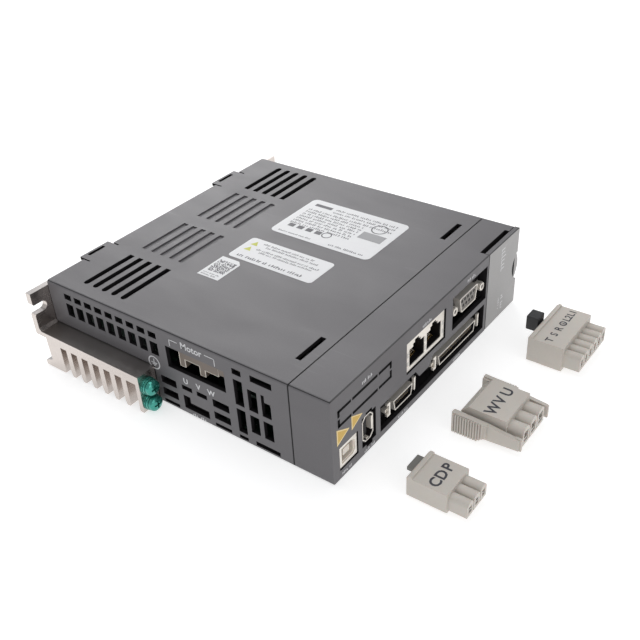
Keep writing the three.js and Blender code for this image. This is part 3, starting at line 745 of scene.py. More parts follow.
class DRIVE_OT_door(bpy.types.Operator):
    """Hinged display door with its thumb scoop"""
    bl_idname = "drive.door"
    bl_label = "Display door"

    def execute(self, context):
        # painted shade: the door's up-facing faces take the darker case finish
        refinish(softened("display_door", "door", 0.25), "case", faces_up)
        edge, middle, deep, half, floor = SCOOP
        steps = [i / 6 - 1 for i in range(13)]
        bow = [(edge - deep * (1 - t * t), floor, middle + half * t) for t in steps]
        Solid().patch(bow).build("door_scoop_shade", "inner", "door")
        return {"FINISHED"}


class DRIVE_OT_heatsink(bpy.types.Operator):
    """Extruded heatsink with fins, shelf, back plate and slotted ears"""
    bl_idname = "drive.heatsink"
    bl_label = "Heatsink"

    def execute(self, context):
        # painted shade: the heatsink's up-facing faces take the darker shelf copy of its aluminium
        refinish(softened("heatsink", "aluminium", 0.22), "shelf", faces_up)
        return {"FINISHED"}


def cross(axis, centre, span, reach, half=0.42):
    """The two blades of a cross-shaped driving recess."""
    cu, cv = centre
    return [Solid().prism(axis, bar_shape(cu - du, cu + du, cv - dv, cv + dv), span, 0)
            for du, dv in ((reach, half), (half, reach))]


class DRIVE_OT_fasteners(bpy.types.Operator):
    """Ground screws with washers, plate screws and the socket's jack screws"""
    bl_idname = "drive.fasteners"
    bl_label = "Fasteners"

    def execute(self, context):
        for make, count in ((self.ground_screw, 2), (self.plate_screw, 4), (self.jack_screw, 2)):
            for i in range(1, count + 1):
                node = f"{make.__name__}_{i}"
                low, high = limits(node)
                make(node, ((low.x + high.x) / 2, (low.z + high.z) / 2), low.y, high.y)
        return {"FINISHED"}

    def ground_screw(self, node, centre, front, back):
        solid = Solid().lathe("y", centre, [
            (back, 0), (back, 4.05), (back - 0.15, 4.1), (back - 0.85, 4.1), (back - 1.0, 3.95),
            (back - 1.05, 3.2), (back - 1.25, 3.2), (back - 1.3, 3.85), (back - 2.3, 3.85),
            (back - 2.4, 3.2), (back - 2.55, 3.2), (back - 2.6, 3.62), (back - 3.5, 3.7),
            (back - 4.2, 3.45), (back - 4.75, 2.7), (front + 0.05, 1.6), (front, 0)], 40)
        mesh = cut(solid, cross("y", centre, (front - 1, front + 1.5), 2.0))
        show(node + "_head", mesh, "green", BODY_OF[node], node)
        washer = Solid().ring("y", circle(*centre, 4.1, 40), circle(*centre, 3.0, 40),
                              (back - 0.98, back - 0.1), 0.12)
        washer.build(node + "_washer", "green", BODY_OF[node])

    def plate_screw(self, node, centre, front, back):
        solid = Solid().lathe("y", centre, [
            (front, 0), (front, 2.0), (back - 0.35, 2.95), (back - 0.1, 3.0), (back, 2.8),
            (back, 0)], 36)
        mesh = cut(solid, cross("y", centre, (back - 0.9, back + 1), 1.7))
        show(node + "_head", mesh, "plated", BODY_OF[node], node)

    def jack_screw(self, node, centre, front, back):
        solid = Solid().prism("y", circle(*centre, 2.3, 6), (front + 0.5, back), 0.2)
        solid.lathe("y", centre, [
            (front + 0.6, 1.05), (front + 0.6, 1.95), (front + 0.15, 2.05), (front, 1.9),
            (front, 1.2), (front + 0.3, 1.05), (front + 0.6, 1.05)], 28)
        solid.build(node + "_hex", "shell", BODY_OF[node], node)
        # painted shade: a flat black disc inside the screw's front stands in for the shade in its
        # threaded bore
        hole = Solid().lathe("y", centre, [(front + 0.42, 0), (front + 0.42, 1.1), (front + 0.46, 1.1),
                                           (front + 0.46, 0)], 24)
        hole.build(node + "_bore", "insert", BODY_OF[node])


class DRIVE_OT_power_headers(bpy.types.Operator):
    """Nylon power headers with their tinned pins, and the small safety connector; the headers are in
    painted shade, with painted highlights along the motor header's outline
    """
    bl_idname = "drive.power_headers"
    bl_label = "Power headers"

    def execute(self, context):
        softened("motor_header", "header", 0.25)
        softened("sto_connector", "insert", 0.2)
        for node, poles in (("mains_header", 5), ("brake_header", 3)):
            softened(node, "header", 0.2)
            self.pins(node, poles)
        # painted highlight: thin pale strips along the motor header's outline stand in for the light on
        # its edges
        profile = [(79.6, 33.0), (79.6, 25.0), (76.6, 25.0), (76.6, 29.2), (68.2, 29.2), (68.2, 24.6),
                   (65.3, 24.6), (65.3, 28.1), (57.6, 28.1), (57.6, 33.0)]
        edge_highlight = Solid()
        for (y0, z0), (y1, z1) in zip(profile, profile[1:]):
            edge_highlight.slab((1.8, 2.1), (min(y0, y1) - 0.02, max(y0, y1) + 0.3),
                        (min(z0, z1) - 0.02, max(z0, z1) + 0.3), 0.05, 1)
        edge_highlight.build("motor_header_painted_highlight", "white", "drive")
        tips = Solid()
        for y in (73.0, 62.4, 58.0):
            tips.slab((5.6, 12.6), (y - 0.8, y + 0.8), (25.5, 27.1), 0.35)
        tips.build("motor_header_pins", "plated", "drive")
        return {"FINISHED"}

    def pins(self, node, poles):
        low, high = limits(node)
        pitch = (high.y - low.y - 2.8) / poles
        z = (low.z + high.z) / 2
        back = high.x - 12.4
        pins, ribs = Solid(), Solid()
        for i in range(poles):
            y = low.y + 1.4 + pitch * (i + 0.5)
            pins.slab((back, high.x - 3.6), (y - 0.85, y + 0.85), (z - 0.85, z + 0.85), 0.35)
            for edge in (y - pitch * 0.36, y + pitch * 0.36):
                for span in ((low.z + 1.2, low.z + 3.0), (high.z - 2.6, high.z - 1.2)):
                    ribs.slab((back, high.x - 1.2), (edge - 0.35, edge + 0.35), span, 0.12)
        pins.build(node + "_pins", "plated", "drive")
        ribs.build(node + "_ribs", "header", "drive")


class DRIVE_OT_front_sockets(bpy.types.Operator):
    """Sockets on the front: square data, feedback, ribbon, network and nine-way"""
    bl_idname = "drive.front_sockets"
    bl_label = "Front sockets"

    def execute(self, context):
        self.usb()
        self.feedback()
        self.ribbon("ribbon_socket_small", 10, 5.5, 2.6)
        self.ribbon("ribbon_socket_large", 25, 5.0, 3.4)
        self.network()
        self.serial()
        return {"FINISHED"}

    def usb(self):
        low, high = limits("usb_socket")
        softened("usb_socket", "shell", 0.18)
        x0, z0 = low.x + 1.4, low.z + 1.4
        x1, z1 = high.x - 1.3, high.z - 1.4
        c = 1.5
        outer = [(x0, z0), (x1 - c, z0), (x1, z0 + c), (x1, z1 - c), (x1 - c, z1), (x0, z1)]
        t = 0.7
        inner = [(x0 + t, z0 + t), (x1 - c - t / 3, z0 + t), (x1 - t, z0 + c + t / 3),
                 (x1 - t, z1 - c - t / 3), (x1 - c - t / 3, z1 - t), (x0 + t, z1 - t)]
        liner = Solid().ring("y", outer, inner, (low.y + 0.4, low.y + 8.2), 0.1)
        liner.slab((x0 + 2.2, x1 - 2.4), (low.y + 1.0, low.y + 8.5), (z0 + 2.3, z1 - 2.3), 0.3)
        liner.build("usb_insert", "white", "drive")
        contacts = Solid()
        for i in range(2):
            x = x0 + 3.1 + 2.2 * i
            for z in (z0 + 2.27, z1 - 2.27):
                contacts.slab((x - 0.5, x + 0.5), (low.y + 1.8, low.y + 8.0),
                              (z - 0.06, z + 0.06), 0.02)
        contacts.build("usb_contacts", "gold", "drive")

    def feedback(self):
        low, high = limits("feedback_socket")

        def octagon(inset, c):
            x0, x1, z0, z1 = low.x + inset, high.x - inset, low.z + inset, high.z - inset
            return [(x0 + c, z0), (x1 - c, z0), (x1, z0 + c), (x1, z1 - c), (x1 - c, z1), (x0 + c, z1),
                    (x0, z1 - c), (x0, z0 + c)]

        ring = Solid().ring("y", octagon(0.35, 2.0), octagon(0.8, 1.8), (low.y, high.y - 0.4), 0.1)
        ring.slab((high.x - 1.75, high.x - 0.75), (low.y + 0.1, low.y + 6),
                  (low.z + 4.0, high.z - 3.2), 0.15)
        ring.slab((low.x + 3.2, low.x + 5.0), (low.y + 0.3, low.y + 6),
                  (low.z + 0.8, low.z + 1.5), 0.15)
        ring.build("feedback_shell", "shell", "drive", "feedback_socket")
        block = Solid().prism("y", octagon(0.8, 1.7), (low.y + 5.6, high.y - 0.5), 0.1)
        block.ring("y", octagon(0.82, 1.8), octagon(1.15, 1.7), (low.y + 0.25, low.y + 5.8), 0.03)
        # painted shade: a thin black ring fills the gap round the shell
        block.ring("y", octagon(0.0, 2.0), octagon(0.33, 2.0), (low.y + 0.1, low.y + 5.8), 0.03)
        mid = (low.x + high.x) / 2
        block.slab((mid - 1.1, mid + 0.9), (low.y + 1.4, low.y + 6), (low.z + 2.4, high.z - 2.4), 0.15)
        block.build("feedback_insert", "insert", "drive")
        contacts = Solid()
        for i in range(3):
            z = low.z + 4.3 + 2.8 * i
            for x in (mid - 1.14, mid + 0.94):
                contacts.slab((x - 0.05, x + 0.05), (low.y + 1.7, low.y + 5.8),
                              (z - 0.55, z + 0.55), 0.02)
        contacts.build("feedback_contacts", "gold", "drive")

    def ribbon(self, node, ways, left, right):
        low, high = limits(node)
        z0, z1 = RIBBON
        x0, x1 = low.x + left, high.x - right
        front, c = low.y + 0.2, 1.2

        def outline(inset):
            return [(x0 + inset, z1 - inset), (x1 - inset, z1 - inset),
                    (x1 - c - inset * 0.6, z0 + inset), (x0 + c + inset * 0.6, z0 + inset)]

        flange = Solid().slab((low.x, high.x), (low.y + 3.2, high.y), (low.z, high.z), 0.25)
        flange.slab((x0 + 2.0, x1 - 2.0), (front + 0.7, front + 3.6), (7.1, 8.5), 0.25)
        flange.ring("y", outline(0.57), outline(0.8), (front + 0.15, low.y + 3.4), 0.02)
        flange.build(node + "_flange", "insert", "drive", node)
        shell = Solid().ring("y", outline(0.0), outline(0.55), (front, low.y + 3.4), 0.12)
        shell.build(node + "_shell", "shell", "drive")
        contacts = Solid()
        pitch = (x1 - x0 - 4.8) / ways
        for i in range(ways):
            x = x0 + 2.4 + pitch * (i + 0.5)
            for z in (7.06, 8.54):
                contacts.slab((x - pitch * 0.3, x + pitch * 0.3), (front + 0.8, front + 3.4),
                              (z - 0.08, z + 0.08), 0.02)
        contacts.build(node + "_contacts", "gold", "drive")
        latches = Solid()
        hooks = ([(0.4, 5.6), (2.9, 5.6), (2.9, 12.6), (0.6, 12.6), (0.6, 11.3), (1.7, 11.3),
                  (1.7, 7.0), (0.4, 7.0)],
                 [(-1.6, 5.8), (-0.6, 5.8), (-0.4, 11.2), (-0.2, 12.7), (-1.8, 12.7), (-1.6, 10.8)])
        for x, hook in zip((low.x, high.x), hooks):
            latches.prism("y", [(x + u, z) for u, z in hook], (low.y + 0.1, low.y + 1.3), 0.15)
            foot = bar_shape(x + hook[0][0], x + hook[1][0], 7.2, 9)
            latches.prism("y", foot, (low.y + 1.2, low.y + 3.4), 0.1)
        latches.build(node + "_latches", "shell", "drive")

    def network(self):
        low, high = limits("network_jack")
        softened("network_jack", "shell", 0.15)
        lining, contacts, springs = Solid(), Solid(), Solid()

        def throat(mid, t):
            """The stepped outline of a port, t inside its wall."""
            half = [(6 - t, 21.7 + t), (6 - t, 30.5 - t), (3.1 - t, 30.5 - t), (3.1 - t, 32 - t),
                    (1.7 - t, 32 - t), (1.7 - t, 33.3 - t)]
            return [(mid + u, v) for u, v in half] + [(mid - u, v) for u, v in reversed(half)]

        for mid in (low.x + 15.5 - PORT_HALF, low.x + 15.5 + PORT_HALF):
            lining.ring("y", throat(mid, 0), throat(mid, 0.35), (low.y + 0.35, low.y + 12.2), 0.08)
            lining.slab((mid - 6, mid + 6), (low.y + 11.8, low.y + 12.3), (21.7, 30.5), 0.05)
            for i in range(8):
                x = mid + (i - 3.5) * 1.02
                contacts.prism("x", [(3.4, 22.6), (3.6, 22.4), (12.0, 26.9), (12.0, 27.3)],
                               (x - 0.2, x + 0.2), 0.03)
            lining.slab((mid - 5.2, mid + 5.2), (low.y + 9.0, low.y + 12), (26.4, 30.0), 0.2)
        lining.build("network_lining", "insert", "drive")
        contacts.build("network_contacts", "gold", "drive")
        for x in (low.x + 1.2, low.x + 15.5, high.x - 1.2):
            for z in (22.8, 27.2):
                springs.slab((x - 0.6, x + 0.6), (low.y - 0.06, low.y + 0.4), (z, z + 2.2), 0.05)
        springs.build("network_springs", "plated", "drive")

    def serial(self):
        low, high = limits("serial_socket")
        x0, x1, z0, z1 = 100.4, 117.0, 22.8, 30.9
        front = low.y

        def outline(inset, slope=1.6, corner=0.9):
            a = [(x0 + inset, z1 - inset), (x1 - inset, z1 - inset),
                 (x1 - slope - inset * 0.8, z0 + inset), (x0 + slope + inset * 0.8, z0 + inset)]
            points = []
            for i in range(4):
                p, q, r = Vector(a[i - 1]), Vector(a[i]), Vector(a[(i + 1) % 4])
                start = q + (p - q).normalized() * corner
                end = q + (r - q).normalized() * corner
                for k in range(5):
                    t = k / 4
                    points.append(tuple(start * (1 - t) ** 2 + q * 2 * t * (1 - t) + end * t * t))
            return points

        shell = Solid().ring("y", outline(0.0), outline(0.55), (front, front + 3.6), 0.12)
        shell.build("serial_shell", "shell", "drive", "serial_socket")
        insert = Solid().prism("y", outline(0.6), (front + 0.5, front + 4.0), 0.2)
        insert.build("serial_insert", "socket_face", "drive")
        plate = rounded((low.x, high.x), (low.z, high.z), 1.2)
        rear = Solid().prism("y", plate, (front + 3.3, front + 4.4), 0.15)
        rear.slab((low.x + 4.5, high.x - 3), (front + 4.4, high.y), (low.z + 0.6, high.z - 0.6), 0.3)
        rear.build("serial_rear", "insert", "drive")
        # painted shade: flat black discs on the insert face stand in for the shade inside its contact
        # holes
        holes = Solid()
        mid = (x0 + x1) / 2
        for count, z in ((5, 28.2), (4, 25.4)):
            for i in range(count):
                x = mid + (i - (count - 1) / 2) * 2.74
                holes.lathe("y", (x, z), [(front + 0.40, 0), (front + 0.40, 0.72), (front + 0.56, 0.85),
                                          (front + 0.7, 0.85), (front + 0.7, 0)], 16)
        holes.build("serial_hole_shade", "insert", "drive")


class DRIVE_OT_display(bpy.types.Operator):
    """Digit display, its board and the five keys behind the door"""
    bl_idname = "drive.display"
    bl_label = "Display and keys"

    def execute(self, context):
        softened("display_board", "board", 0.1)
        softened("display_module", "window", 0.25)
        low, high = limits("display_module")
        digits = Solid()
        pitch = (high.z - low.z) / 5
        for i in range(5):
            self.digit(digits, (low.x + high.x) / 2, low.z + pitch * (i + 0.5), low.y)
        digits.build("digit_segments", "digit", "drive")
        for i in range(1, 6):
            softened(f"key_{i}", "key", 0.3)
        for i in range(1, 6):
            low, high = limits(f"key_{i}")
            mid = (low + high) / 2
            arrow = circle(mid.x, mid.z, 1.0, 3, math.pi / 2 * (i - 1))
            Solid().patch([(u, low.y - 0.02, v) for u, v in arrow]).build(
                f"key_{i}_symbol", "pale", f"key_{i}")
        return {"FINISHED"}

    def digit(self, solid, x, z, y):
        """Seven unlit segments."""
        tall, wide, t = 3.6, 1.9, 0.42
        skin = (y - 0.05, y + 0.1)
        for cu in (x - tall, x, x + tall):
            solid.slab((cu - t, cu + t), skin, (z - wide + t, z + wide - t), 0.1, 1)
        for cu in (x - tall / 2, x + tall / 2):
            for cv in (z - wide, z + wide):
                solid.slab((cu - tall / 2 + t, cu + tall / 2 - t), skin, (cv - t, cv + t), 0.1, 1)


class DRIVE_OT_inside(bpy.types.Operator):
    """Boards, capacitors, choke, transformer, relay and power module seen through the vents"""
    bl_idname = "drive.inside"
    bl_label = "Inside parts"

    def execute(self, context):
        for node, material, edge in (
                ("control_board", "board", 0.08), ("network_board", "board", 0.08),
                ("power_board", "board", 0.08), ("power_module", "sleeve", 0.25),
                ("inrush_relay", "sleeve", 0.3), ("transformer", "tape", 0.3)):
            softened(node, material, edge)
        for i in (1, 2, 3):
            self.capacitor(f"bus_capacitor_{i}")
        self.choke()
        return {"FINISHED"}

    def capacitor(self, node):
        low, high = limits(node)
        centre = ((low.y + high.y) / 2, high.z - 7.4)
        r, x0, x1 = 7.35, low.x, high.x
        can = Solid().lathe("x", centre, [
            (x0, 0), (x0, r - 1.4), (x0 + 0.25, r - 0.8), (x0 + 1.2, r - 0.1), (x0 + 2.6, r),
            (x0 + 3.0, r - 0.7), (x0 + 3.8, r - 0.7), (x0 + 4.3, r), (x1 - 0.8, r), (x1, r - 0.7),
            (x1, 0)], 40)
        can.build(node + "_can", "sleeve", "drive", node)
        seal = Solid().lathe("x", centre, [
            (x1 - 0.3, 0), (x1 - 0.3, r - 1.4), (x1 + 0.2, r - 1.6), (x1 + 0.2, 0)], 32)
        seal.slab((x1 - 12, x1 - 2), (centre[0] - 3, centre[0] + 3), (low.z, low.z + 2.3), 0.3)
        seal.build(node + "_seal", "insert", "drive")

    def choke(self):
        low, high = limits("line_choke")
        mid = (low + high) / 2
        ring = Solid().ring("z", circle(mid.x, mid.y, 10.2, 40), circle(mid.x, mid.y, 5.9, 40),
                            (low.z + 0.9, high.z - 0.9), 0.6)
        ring.build("choke_core", "core", "drive", "line_choke")
        coils = Solid()
        for i in range(44):
            if i % 22 > 2:  # bare core between the two windings
                self.turn(coils, mid, 2 * math.pi * i / 44, low.z, high.z)
        coils.build("choke_winding", "wire", "drive")

    def turn(self, solid, mid, a, z0, z1):
        """One turn of wire round the ring, as a small octagonal loop."""
        wire = 0.4
        out = Vector((math.cos(a), math.sin(a), 0))
        side = Vector((-math.sin(a), math.cos(a), 0))
        path = [(5.4, z0 + 1.4), (6.3, z0 + 0.45), (9.8, z0 + 0.45), (10.55, z0 + 1.4),
                (10.55, z1 - 1.4), (9.8, z1 - 0.45), (6.3, z1 - 0.45), (5.4, z1 - 1.4)]
        rings = []
        centre = Vector((7.9, (z0 + z1) / 2))
        for r, z in path:
            away = (Vector((r, z)) - centre).normalized()
            loop = []
            for k in range(6):
                t = 2 * math.pi * k / 6
                offset = out * away.x * wire * math.cos(t) + side * wire * math.sin(t)
                point = mid.xy.to_3d() + out * r + offset
                point.z = z + away.y * wire * math.cos(t)
                loop.append(solid.bm.verts.new(at(*point)))
            rings.append(loop)
        faces = []
        for p, q in zip(rings, rings[1:] + rings[:1]):
            for k in range(6):
                n = (k + 1) % 6
                faces.append(solid.bm.faces.new((p[k], p[n], q[n], q[k])))
        bmesh.ops.recalc_face_normals(solid.bm, faces=faces)


class DRIVE_OT_labels(bpy.types.Operator):
    """Film labels on the upper side with stand-in marks for their small print"""
    bl_idname = "drive.labels"
    bl_label = "Labels"

    def execute(self, context):
        self.nameplate()
        self.caution()
        self.code()
        return {"FINISHED"}

    def lay(self, node, shape):
        """Lays a film and gives the sheet that reads along -y with +x upwards, and its size."""
        low, high = limits(node)
        top = high.z - FILM
        outline = shape((low.x, high.x), (low.y, high.y))
        Solid().prism("z", outline, (top - FILM, top), 0.02, 1).build(
            node + "_film", "film", "drive", node)
        return Sheet((low.x, high.y, top), (0, -1, 0), (1, 0, 0)), high.y - low.y, high.x - low.x

    def nameplate(self):
        sheet, wide, tall = self.lay("label_nameplate", lambda x, y: rounded(x, y, 3))
        rng = random.Random(11)
        marks = [bar_shape(4.2, 14.5, tall - 6.4, tall - 4.0)]
        for v in (tall - 5.6, tall - 8.4):
            marks += greek_line(rng, 17.0, wide - 4.0, v, 1.6)
        for i in range(7):
            v = tall - 11.6 - 2.55 * i
            stop = wide - (4.0 if i < 1 else 18.5)
            marks += greek_line(rng, 4.0, stop, v, 1.7)
        marks += greek_line(rng, 4.0, 24.0, 2.0, 1.2)
        marks += greek_line(rng, wide - 24.0, wide - 4.0, 2.2, 1.5)
        blocks("nameplate_print", sheet, marks, "mid")
        signs = hoop(28.0, 9.6, 2.7, 0.6, 28) + hoop(wide - 11.0, tall - 10.9, 4.3, 0.6, 28)
        signs += [bar_shape(5.0 + 5.4 * i, 8.6 + 5.4 * i, 8.0, 11.0) for i in range(4)]
        blocks("nameplate_marks", sheet, signs, "mid", layers=1.5)
        panel = [bar_shape(wide - 16.6, wide - 3.6, tall - 22.6, tall - 16.0)]
        blocks("nameplate_panel", sheet, panel, "film_grey")

    def caution(self):
        sheet, wide, tall = self.lay("label_caution", lambda x, y: rounded(x, y, 2))
        rng = random.Random(23)
        marks = []
        for i, v in enumerate((tall - 3.6, tall - 5.8, tall - 9.2, tall - 11.2)):
            start = 9.0 if i % 2 == 0 else 12.0
            marks += greek_line(rng, start, wide - rng.uniform(3, 9), v, 1.45)
        blocks("caution_print", sheet, marks, "mid")
        bold = greek_line(rng, 4.0, wide - 6.0, 2.0, 2.0)
        blocks("caution_bold", sheet, bold, "dark")
        signs = [circle(5.0, v, 2.4, 3, math.pi / 2) for v in (tall - 5.0, tall - 10.2)]
        blocks("caution_signs", sheet, signs, "lime")

    def code(self):
        sheet, wide, tall = self.lay("label_code", lambda x, y: [
            (x[0], y[0]), (x[1] - 2.4, y[0]), (x[1], y[0] + 2.5), (x[1], y[1]), (x[0], y[1])])
        rng = random.Random(5)
        cells = []
        size, count = 0.46, 22
        u0, v0 = (wide - size * count) / 2, 4.9
        for i in range(count):
            for j in range(count):
                if rng.random() < 0.5:
                    u, v = u0 + size * i, v0 + size * j
                    cells.append(bar_shape(u, u + size, v, v + size))
        cells += greek_line(rng, 1.2, wide - 1.2, 2.6, 1.0) + greek_line(rng, 1.2, wide - 3, 1.0, 1.0)
        blocks("code_print", sheet, cells, "mid")


def earth_bars(bars, half):
    """The three level bars of an earth sign, as (half length, height) pairs."""
    return [bar_shape(-wide, wide, v - half, v + half) for wide, v in bars]


class DRIVE_OT_case_print(bpy.types.Operator):
    """Terminal letters, earth sign, plain triangles and stand-in marks printed on the case, and painted
    shade in its knockout grooves
    """
    bl_idname = "drive.case_print"
    bl_label = "Case print"

    def execute(self, context):
        self.end_face()
        self.front_face()
        self.door_face()
        return {"FINISHED"}

    def end_face(self):
        def sheet(y, z):
            return Sheet((0, y, z), (0, -1, 0), (0, 0, 1))

        lettering("motor_word", "Motor", sheet(70.1, 38.0), 4.6, "pale", "drive", 0.08)
        for letter, y in (("U", 76.4), ("V", 69.1), ("W", 61.8)):
            lettering("terminal_" + letter, letter, sheet(y, 18.9), 3.9, "pale", "drive", 0.1)
        lines = [bar_shape(-12.6, -7.7, 0.3, 0.65), bar_shape(-12.6, -12.2, -2.8, 0.65),
                 bar_shape(7.6, 13.0, 0.3, 0.65), bar_shape(12.6, 13.0, -3.1, 0.65)]
        blocks("motor_bracket", sheet(70.1, 38.0), lines, "pale")
        earth = hoop(0, 0, 3.5, 0.6, 32) + [bar_shape(-0.25, 0.25, 0.1, 2.1)]
        earth += earth_bars(((1.8, 0.0), (1.15, -0.75), (0.5, -1.5)), 0.24)
        blocks("earth_sign", sheet(94.6, 21.6), earth, "pale")
        marks = greek_line(random.Random(3), -4.6, 4.6, -0.8, 1.7)
        blocks("safety_mark", sheet(70.5, 1.4), marks, "pale")

    def front_face(self):
        sheet = Sheet((0, 0, 0), (1, 0, 0), (0, 0, 1))
        rng = random.Random(8)
        marks = []
        for line in ((21.0, 28.2, 36.4, 1.7), (66.0, 74.0, 36.2, 1.6), (104.5, 112.0, 38.0, 1.6),
                     (6.0, 13.0, 1.3, 1.5), (21.5, 29.0, 0.6, 1.4), (47.0, 55.0, 0.8, 1.4),
                     (94.0, 102.0, 0.8, 1.4)):
            marks += greek_line(rng, *line)
        blocks("front_marks", sheet, marks, "pale")
        outer = [[(3.4, 17.9), (11.8, 21.6), (3.4, 26.0)],
                 [(13.2, 19.0), (20.8, 22.6), (13.2, 26.1)]]
        blocks("triangle_border", sheet, outer, "amber")
        inner = []
        for shape in outer:
            mid = [sum(p[i] for p in shape) / 3 for i in range(2)]
            inner.append([tuple(mid[k] + (p[k] - mid[k]) * 0.74 for k in range(2)) for p in shape])
        blocks("triangle_fill", sheet, inner, "yellow", layers=1.6)
        # painted shade: black bars over the knockout grooves on the front face
        lines = []
        for z in (26.4, 33.5):
            for x0, x1 in ((4.6, 13.2), (14.4, 31.5), (32.7, 41.8)):
                lines.append(bar_shape(x0 - 0.15, x1 + 0.15, z - 0.15, z + 1.25))
        for x in (4.6, 40.7):
            for z0, z1 in ((26.4, 30.1), (31.4, 34.6)):
                lines.append(bar_shape(x - 0.15, x + 1.25, z0 - 0.15, z1 + 0.15))
        blocks("knockout_groove_shade", sheet, lines, "black")

    def door_face(self):
        def sheet(x, z):
            return Sheet((x, 0, z), (0, 0, -1), (1, 0, 0))

        rng = random.Random(14)
        big = []
        u = 0.0
        while u < 11.6:
            wide = rng.uniform(1.3, 2.0)
            big.append(bar_shape(u, u + 0.6, 0, 4.6 if rng.random() < 0.5 else 3.4))
            big.append(bar_shape(u + 0.6, u + wide, 0, 0.6))
            u += wide + 0.5
        blocks("door_mark_large", sheet(138.0, 38.3), big, "pale", "door")
        small = greek_line(rng, 0.0, 9.8, 0.0, 2.2) + greek_line(rng, 0.0, 6.8, -3.0, 1.5)
        blocks("door_mark_small", sheet(140.4, 11.6), small, "pale", "door")


class DRIVE_OT_plugs(bpy.types.Operator):
    """Loose power plugs with their levers, latches, contacts and terminal letters"""
    bl_idname = "drive.plugs"
    bl_label = "Loose plugs"

    def execute(self, context):
        for node, material, edge in (
                ("brake_plug", "nylon", 0.3), ("motor_plug", "nylon", 0.3),
                ("mains_plug", "nylon", 0.3), ("motor_plug_latch_1", "nylon", 0.3),
                ("motor_plug_latch_2", "nylon", 0.3), ("brake_plug_lever", "lever_grey", 0.3),
                ("mains_plug_lever", "lever_dark", 0.4)):
            softened(node, material, edge)
        self.letters("brake_plug", "C D P", (-36.6, 9.8), 4.8, 6.4, 0.18)
        self.letters("motor_plug", "W V U", (-36.4, 12.4), 6.3, 7.0, 0.16)
        self.letters("mains_plug", "T S R O L2 L1", (-35.8, 12.9), 5.0, 4.8, 0.09)
        self.clamps("brake_plug", 3, 1.5, -26.0, (2.0, 4.8))
        self.clamps("motor_plug", 3, 1.4, -24.0, (2.2, 6.8))
        self.clamps("mains_plug", 6, 1.0, -26.9, (2.0, 5.8))
        return {"FINISHED"}

    def letters(self, node, text, place, pitch, size, bold):
        low, high = limits(node)
        marks = text.split()
        for i, mark in enumerate(marks):
            x = (low.x + high.x) / 2 + (i - (len(marks) - 1) / 2) * pitch
            sheet = Sheet((x, *place), (1, 0, 0), (0, 1, 0))
            if mark == "O":
                bars = [bar_shape(-0.16, 0.16, 0.0, 1.2)]
                bars += earth_bars(((0.95, 0.0), (0.6, -0.5), (0.25, -1.0)), 0.13)
                blocks(node + "_earth", sheet, bars, "dark", BODY_OF[node])
            lettering(f"{node}_mark_{i}", mark, sheet, size, "dark", BODY_OF[node], bold)

    def clamps(self, node, count, inset, back, height):
        low, high = limits(node)
        pitch = (high.x - low.x - 2 * inset) / count
        cage = Solid()
        for i in range(count):
            x = low.x + inset + pitch * (i + 0.5)
            cage.slab((x - pitch * 0.27, x + pitch * 0.27), (back - 5.9, back - 5.2), height, 0.1)
            cage.slab((x - pitch * 0.2, x + pitch * 0.2), (-51.4, -49.4), (4.2, 4.8), 0.1)
        cage.build(node + "_clamps", "plated", BODY_OF[node])


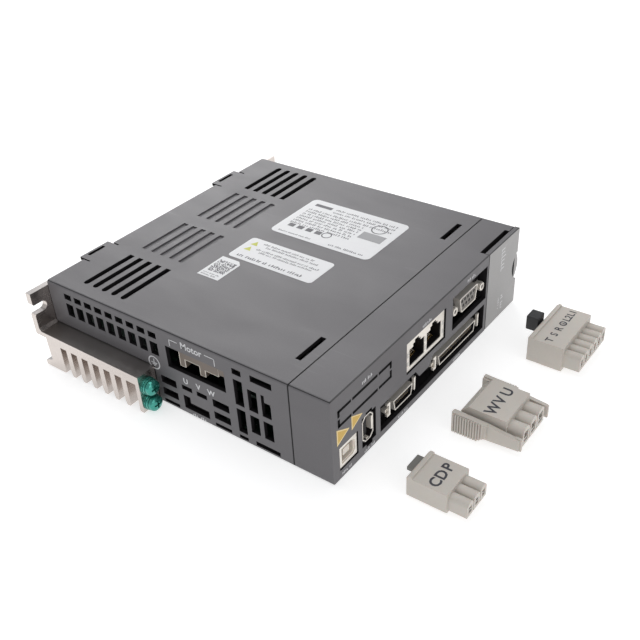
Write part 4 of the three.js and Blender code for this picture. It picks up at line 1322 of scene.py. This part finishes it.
class DRIVE_OT_stage(bpy.types.Operator):
    """Pale floor, soft studio lights and the camera"""
    bl_idname = "drive.stage"
    bl_label = "Stage"

    def execute(self, context):
        scene = context.scene
        stage = scene.drive_stage
        self.floor(stage.floor, stage.glow)
        self.lights(scene)
        self.camera(scene, stage)
        scene.view_settings.view_transform = "Standard"
        return {"FINISHED"}

    def floor(self, colour, glow):
        f = Finish("floor_paper", Roughness=0.8, Emission_Color=(1, 1, 1, 1), Emission_Strength=glow)
        place = f.place()
        cloud = f.noise(place, 3.0, 3.0)
        tooth = f.noise(place, 900.0, 2.0)
        f.drive("Base Color", f.mix(cloud, shade(colour, 0.985), shade(colour, 1.01)))
        f.bump(tooth, 0.02 * MM, 0.2)
        bm = bmesh.new()
        corners = bar_shape(-FLOOR_HALF, FLOOR_HALF, -FLOOR_HALF, FLOOR_HALF)
        bm.faces.new([bm.verts.new((u, v, FLOOR_TOP)) for u, v in corners])
        mesh = bpy.data.meshes.new("floor")
        bm.to_mesh(mesh)
        bm.free()
        mesh.materials.append(f.material)
        floor = bpy.data.objects.new("floor", mesh)
        bpy.context.scene.collection.objects.link(floor)

    def lights(self, scene):
        world = bpy.data.worlds.new("studio")
        world.use_nodes = True
        sky = world.node_tree.nodes["Background"].inputs
        sky["Color"].default_value = (0.97, 0.98, 1.0, 1)
        sky["Strength"].default_value = 0.55
        scene.world = world
        for name, place, size, power in LAMPS:
            data = bpy.data.lights.new(name, "AREA")
            data.size = size
            data.energy = power
            lamp = bpy.data.objects.new(name, data)
            lamp.location = place
            lamp.rotation_mode = "QUATERNION"
            lamp.rotation_quaternion = (-Vector(place)).to_track_quat("-Z", "Y")
            scene.collection.objects.link(lamp)

    def camera(self, scene, stage):
        a, e, r = stage.azimuth, stage.elevation, stage.roll
        back = Vector((math.sin(a) * math.cos(e), -math.cos(a) * math.cos(e), math.sin(e)))
        level = Vector((math.cos(a), math.sin(a), 0))
        rise = back.cross(level)
        right = level * math.cos(r) + rise * math.sin(r)
        up = rise * math.cos(r) - level * math.sin(r)
        data = bpy.data.cameras.new("camera")
        data.lens = stage.lens
        data.sensor_width = 36.0
        data.clip_start = 0.01
        camera = bpy.data.objects.new("camera", data)
        turn = Matrix((right, up, back)).transposed().to_4x4()
        camera.matrix_world = Matrix.Translation(AIM + back * stage.distance) @ turn
        scene.collection.objects.link(camera)
        scene.camera = camera


class DRIVE_PT_panel(bpy.types.Panel):
    bl_idname = "DRIVE_PT_panel"
    bl_label = "Servo drive"
    bl_space_type = "VIEW_3D"
    bl_region_type = "UI"
    bl_category = "Servo drive"

    def draw(self, context):
        for operator in OPERATORS:
            self.layout.operator(operator.bl_idname)
        for group in SETTINGS:
            holder = getattr(context.scene, group)
            for prop in holder.bl_rna.properties:
                if not prop.is_readonly:
                    self.layout.prop(holder, prop.identifier)


OPERATORS = (DRIVE_OT_stage, DRIVE_OT_housing, DRIVE_OT_door, DRIVE_OT_heatsink, DRIVE_OT_fasteners,
             DRIVE_OT_power_headers, DRIVE_OT_front_sockets, DRIVE_OT_display, DRIVE_OT_inside,
             DRIVE_OT_labels, DRIVE_OT_case_print, DRIVE_OT_plugs)
SETTINGS = {
    "drive_case": CaseSettings,
    "drive_metal": MetalSettings,
    "drive_plug": PlugSettings,
    "drive_print": PrintSettings,
    "drive_stage": StageSettings,
}


def register():
    for name, group in SETTINGS.items():
        bpy.utils.register_class(group)
        setattr(bpy.types.Scene, name, bpy.props.PointerProperty(type=group))
    for cls in (*OPERATORS, DRIVE_PT_panel):
        bpy.utils.register_class(cls)


def unregister():
    for cls in (DRIVE_PT_panel, *reversed(OPERATORS)):
        bpy.utils.unregister_class(cls)
    for name, group in SETTINGS.items():
        delattr(bpy.types.Scene, name)
        bpy.utils.unregister_class(group)


def main():
    register()
    make_materials(bpy.context.scene)
    for operator in OPERATORS:
        group, name = operator.bl_idname.split(".")
        getattr(getattr(bpy.ops, group), name)()


if __name__ == "__main__":
    main()
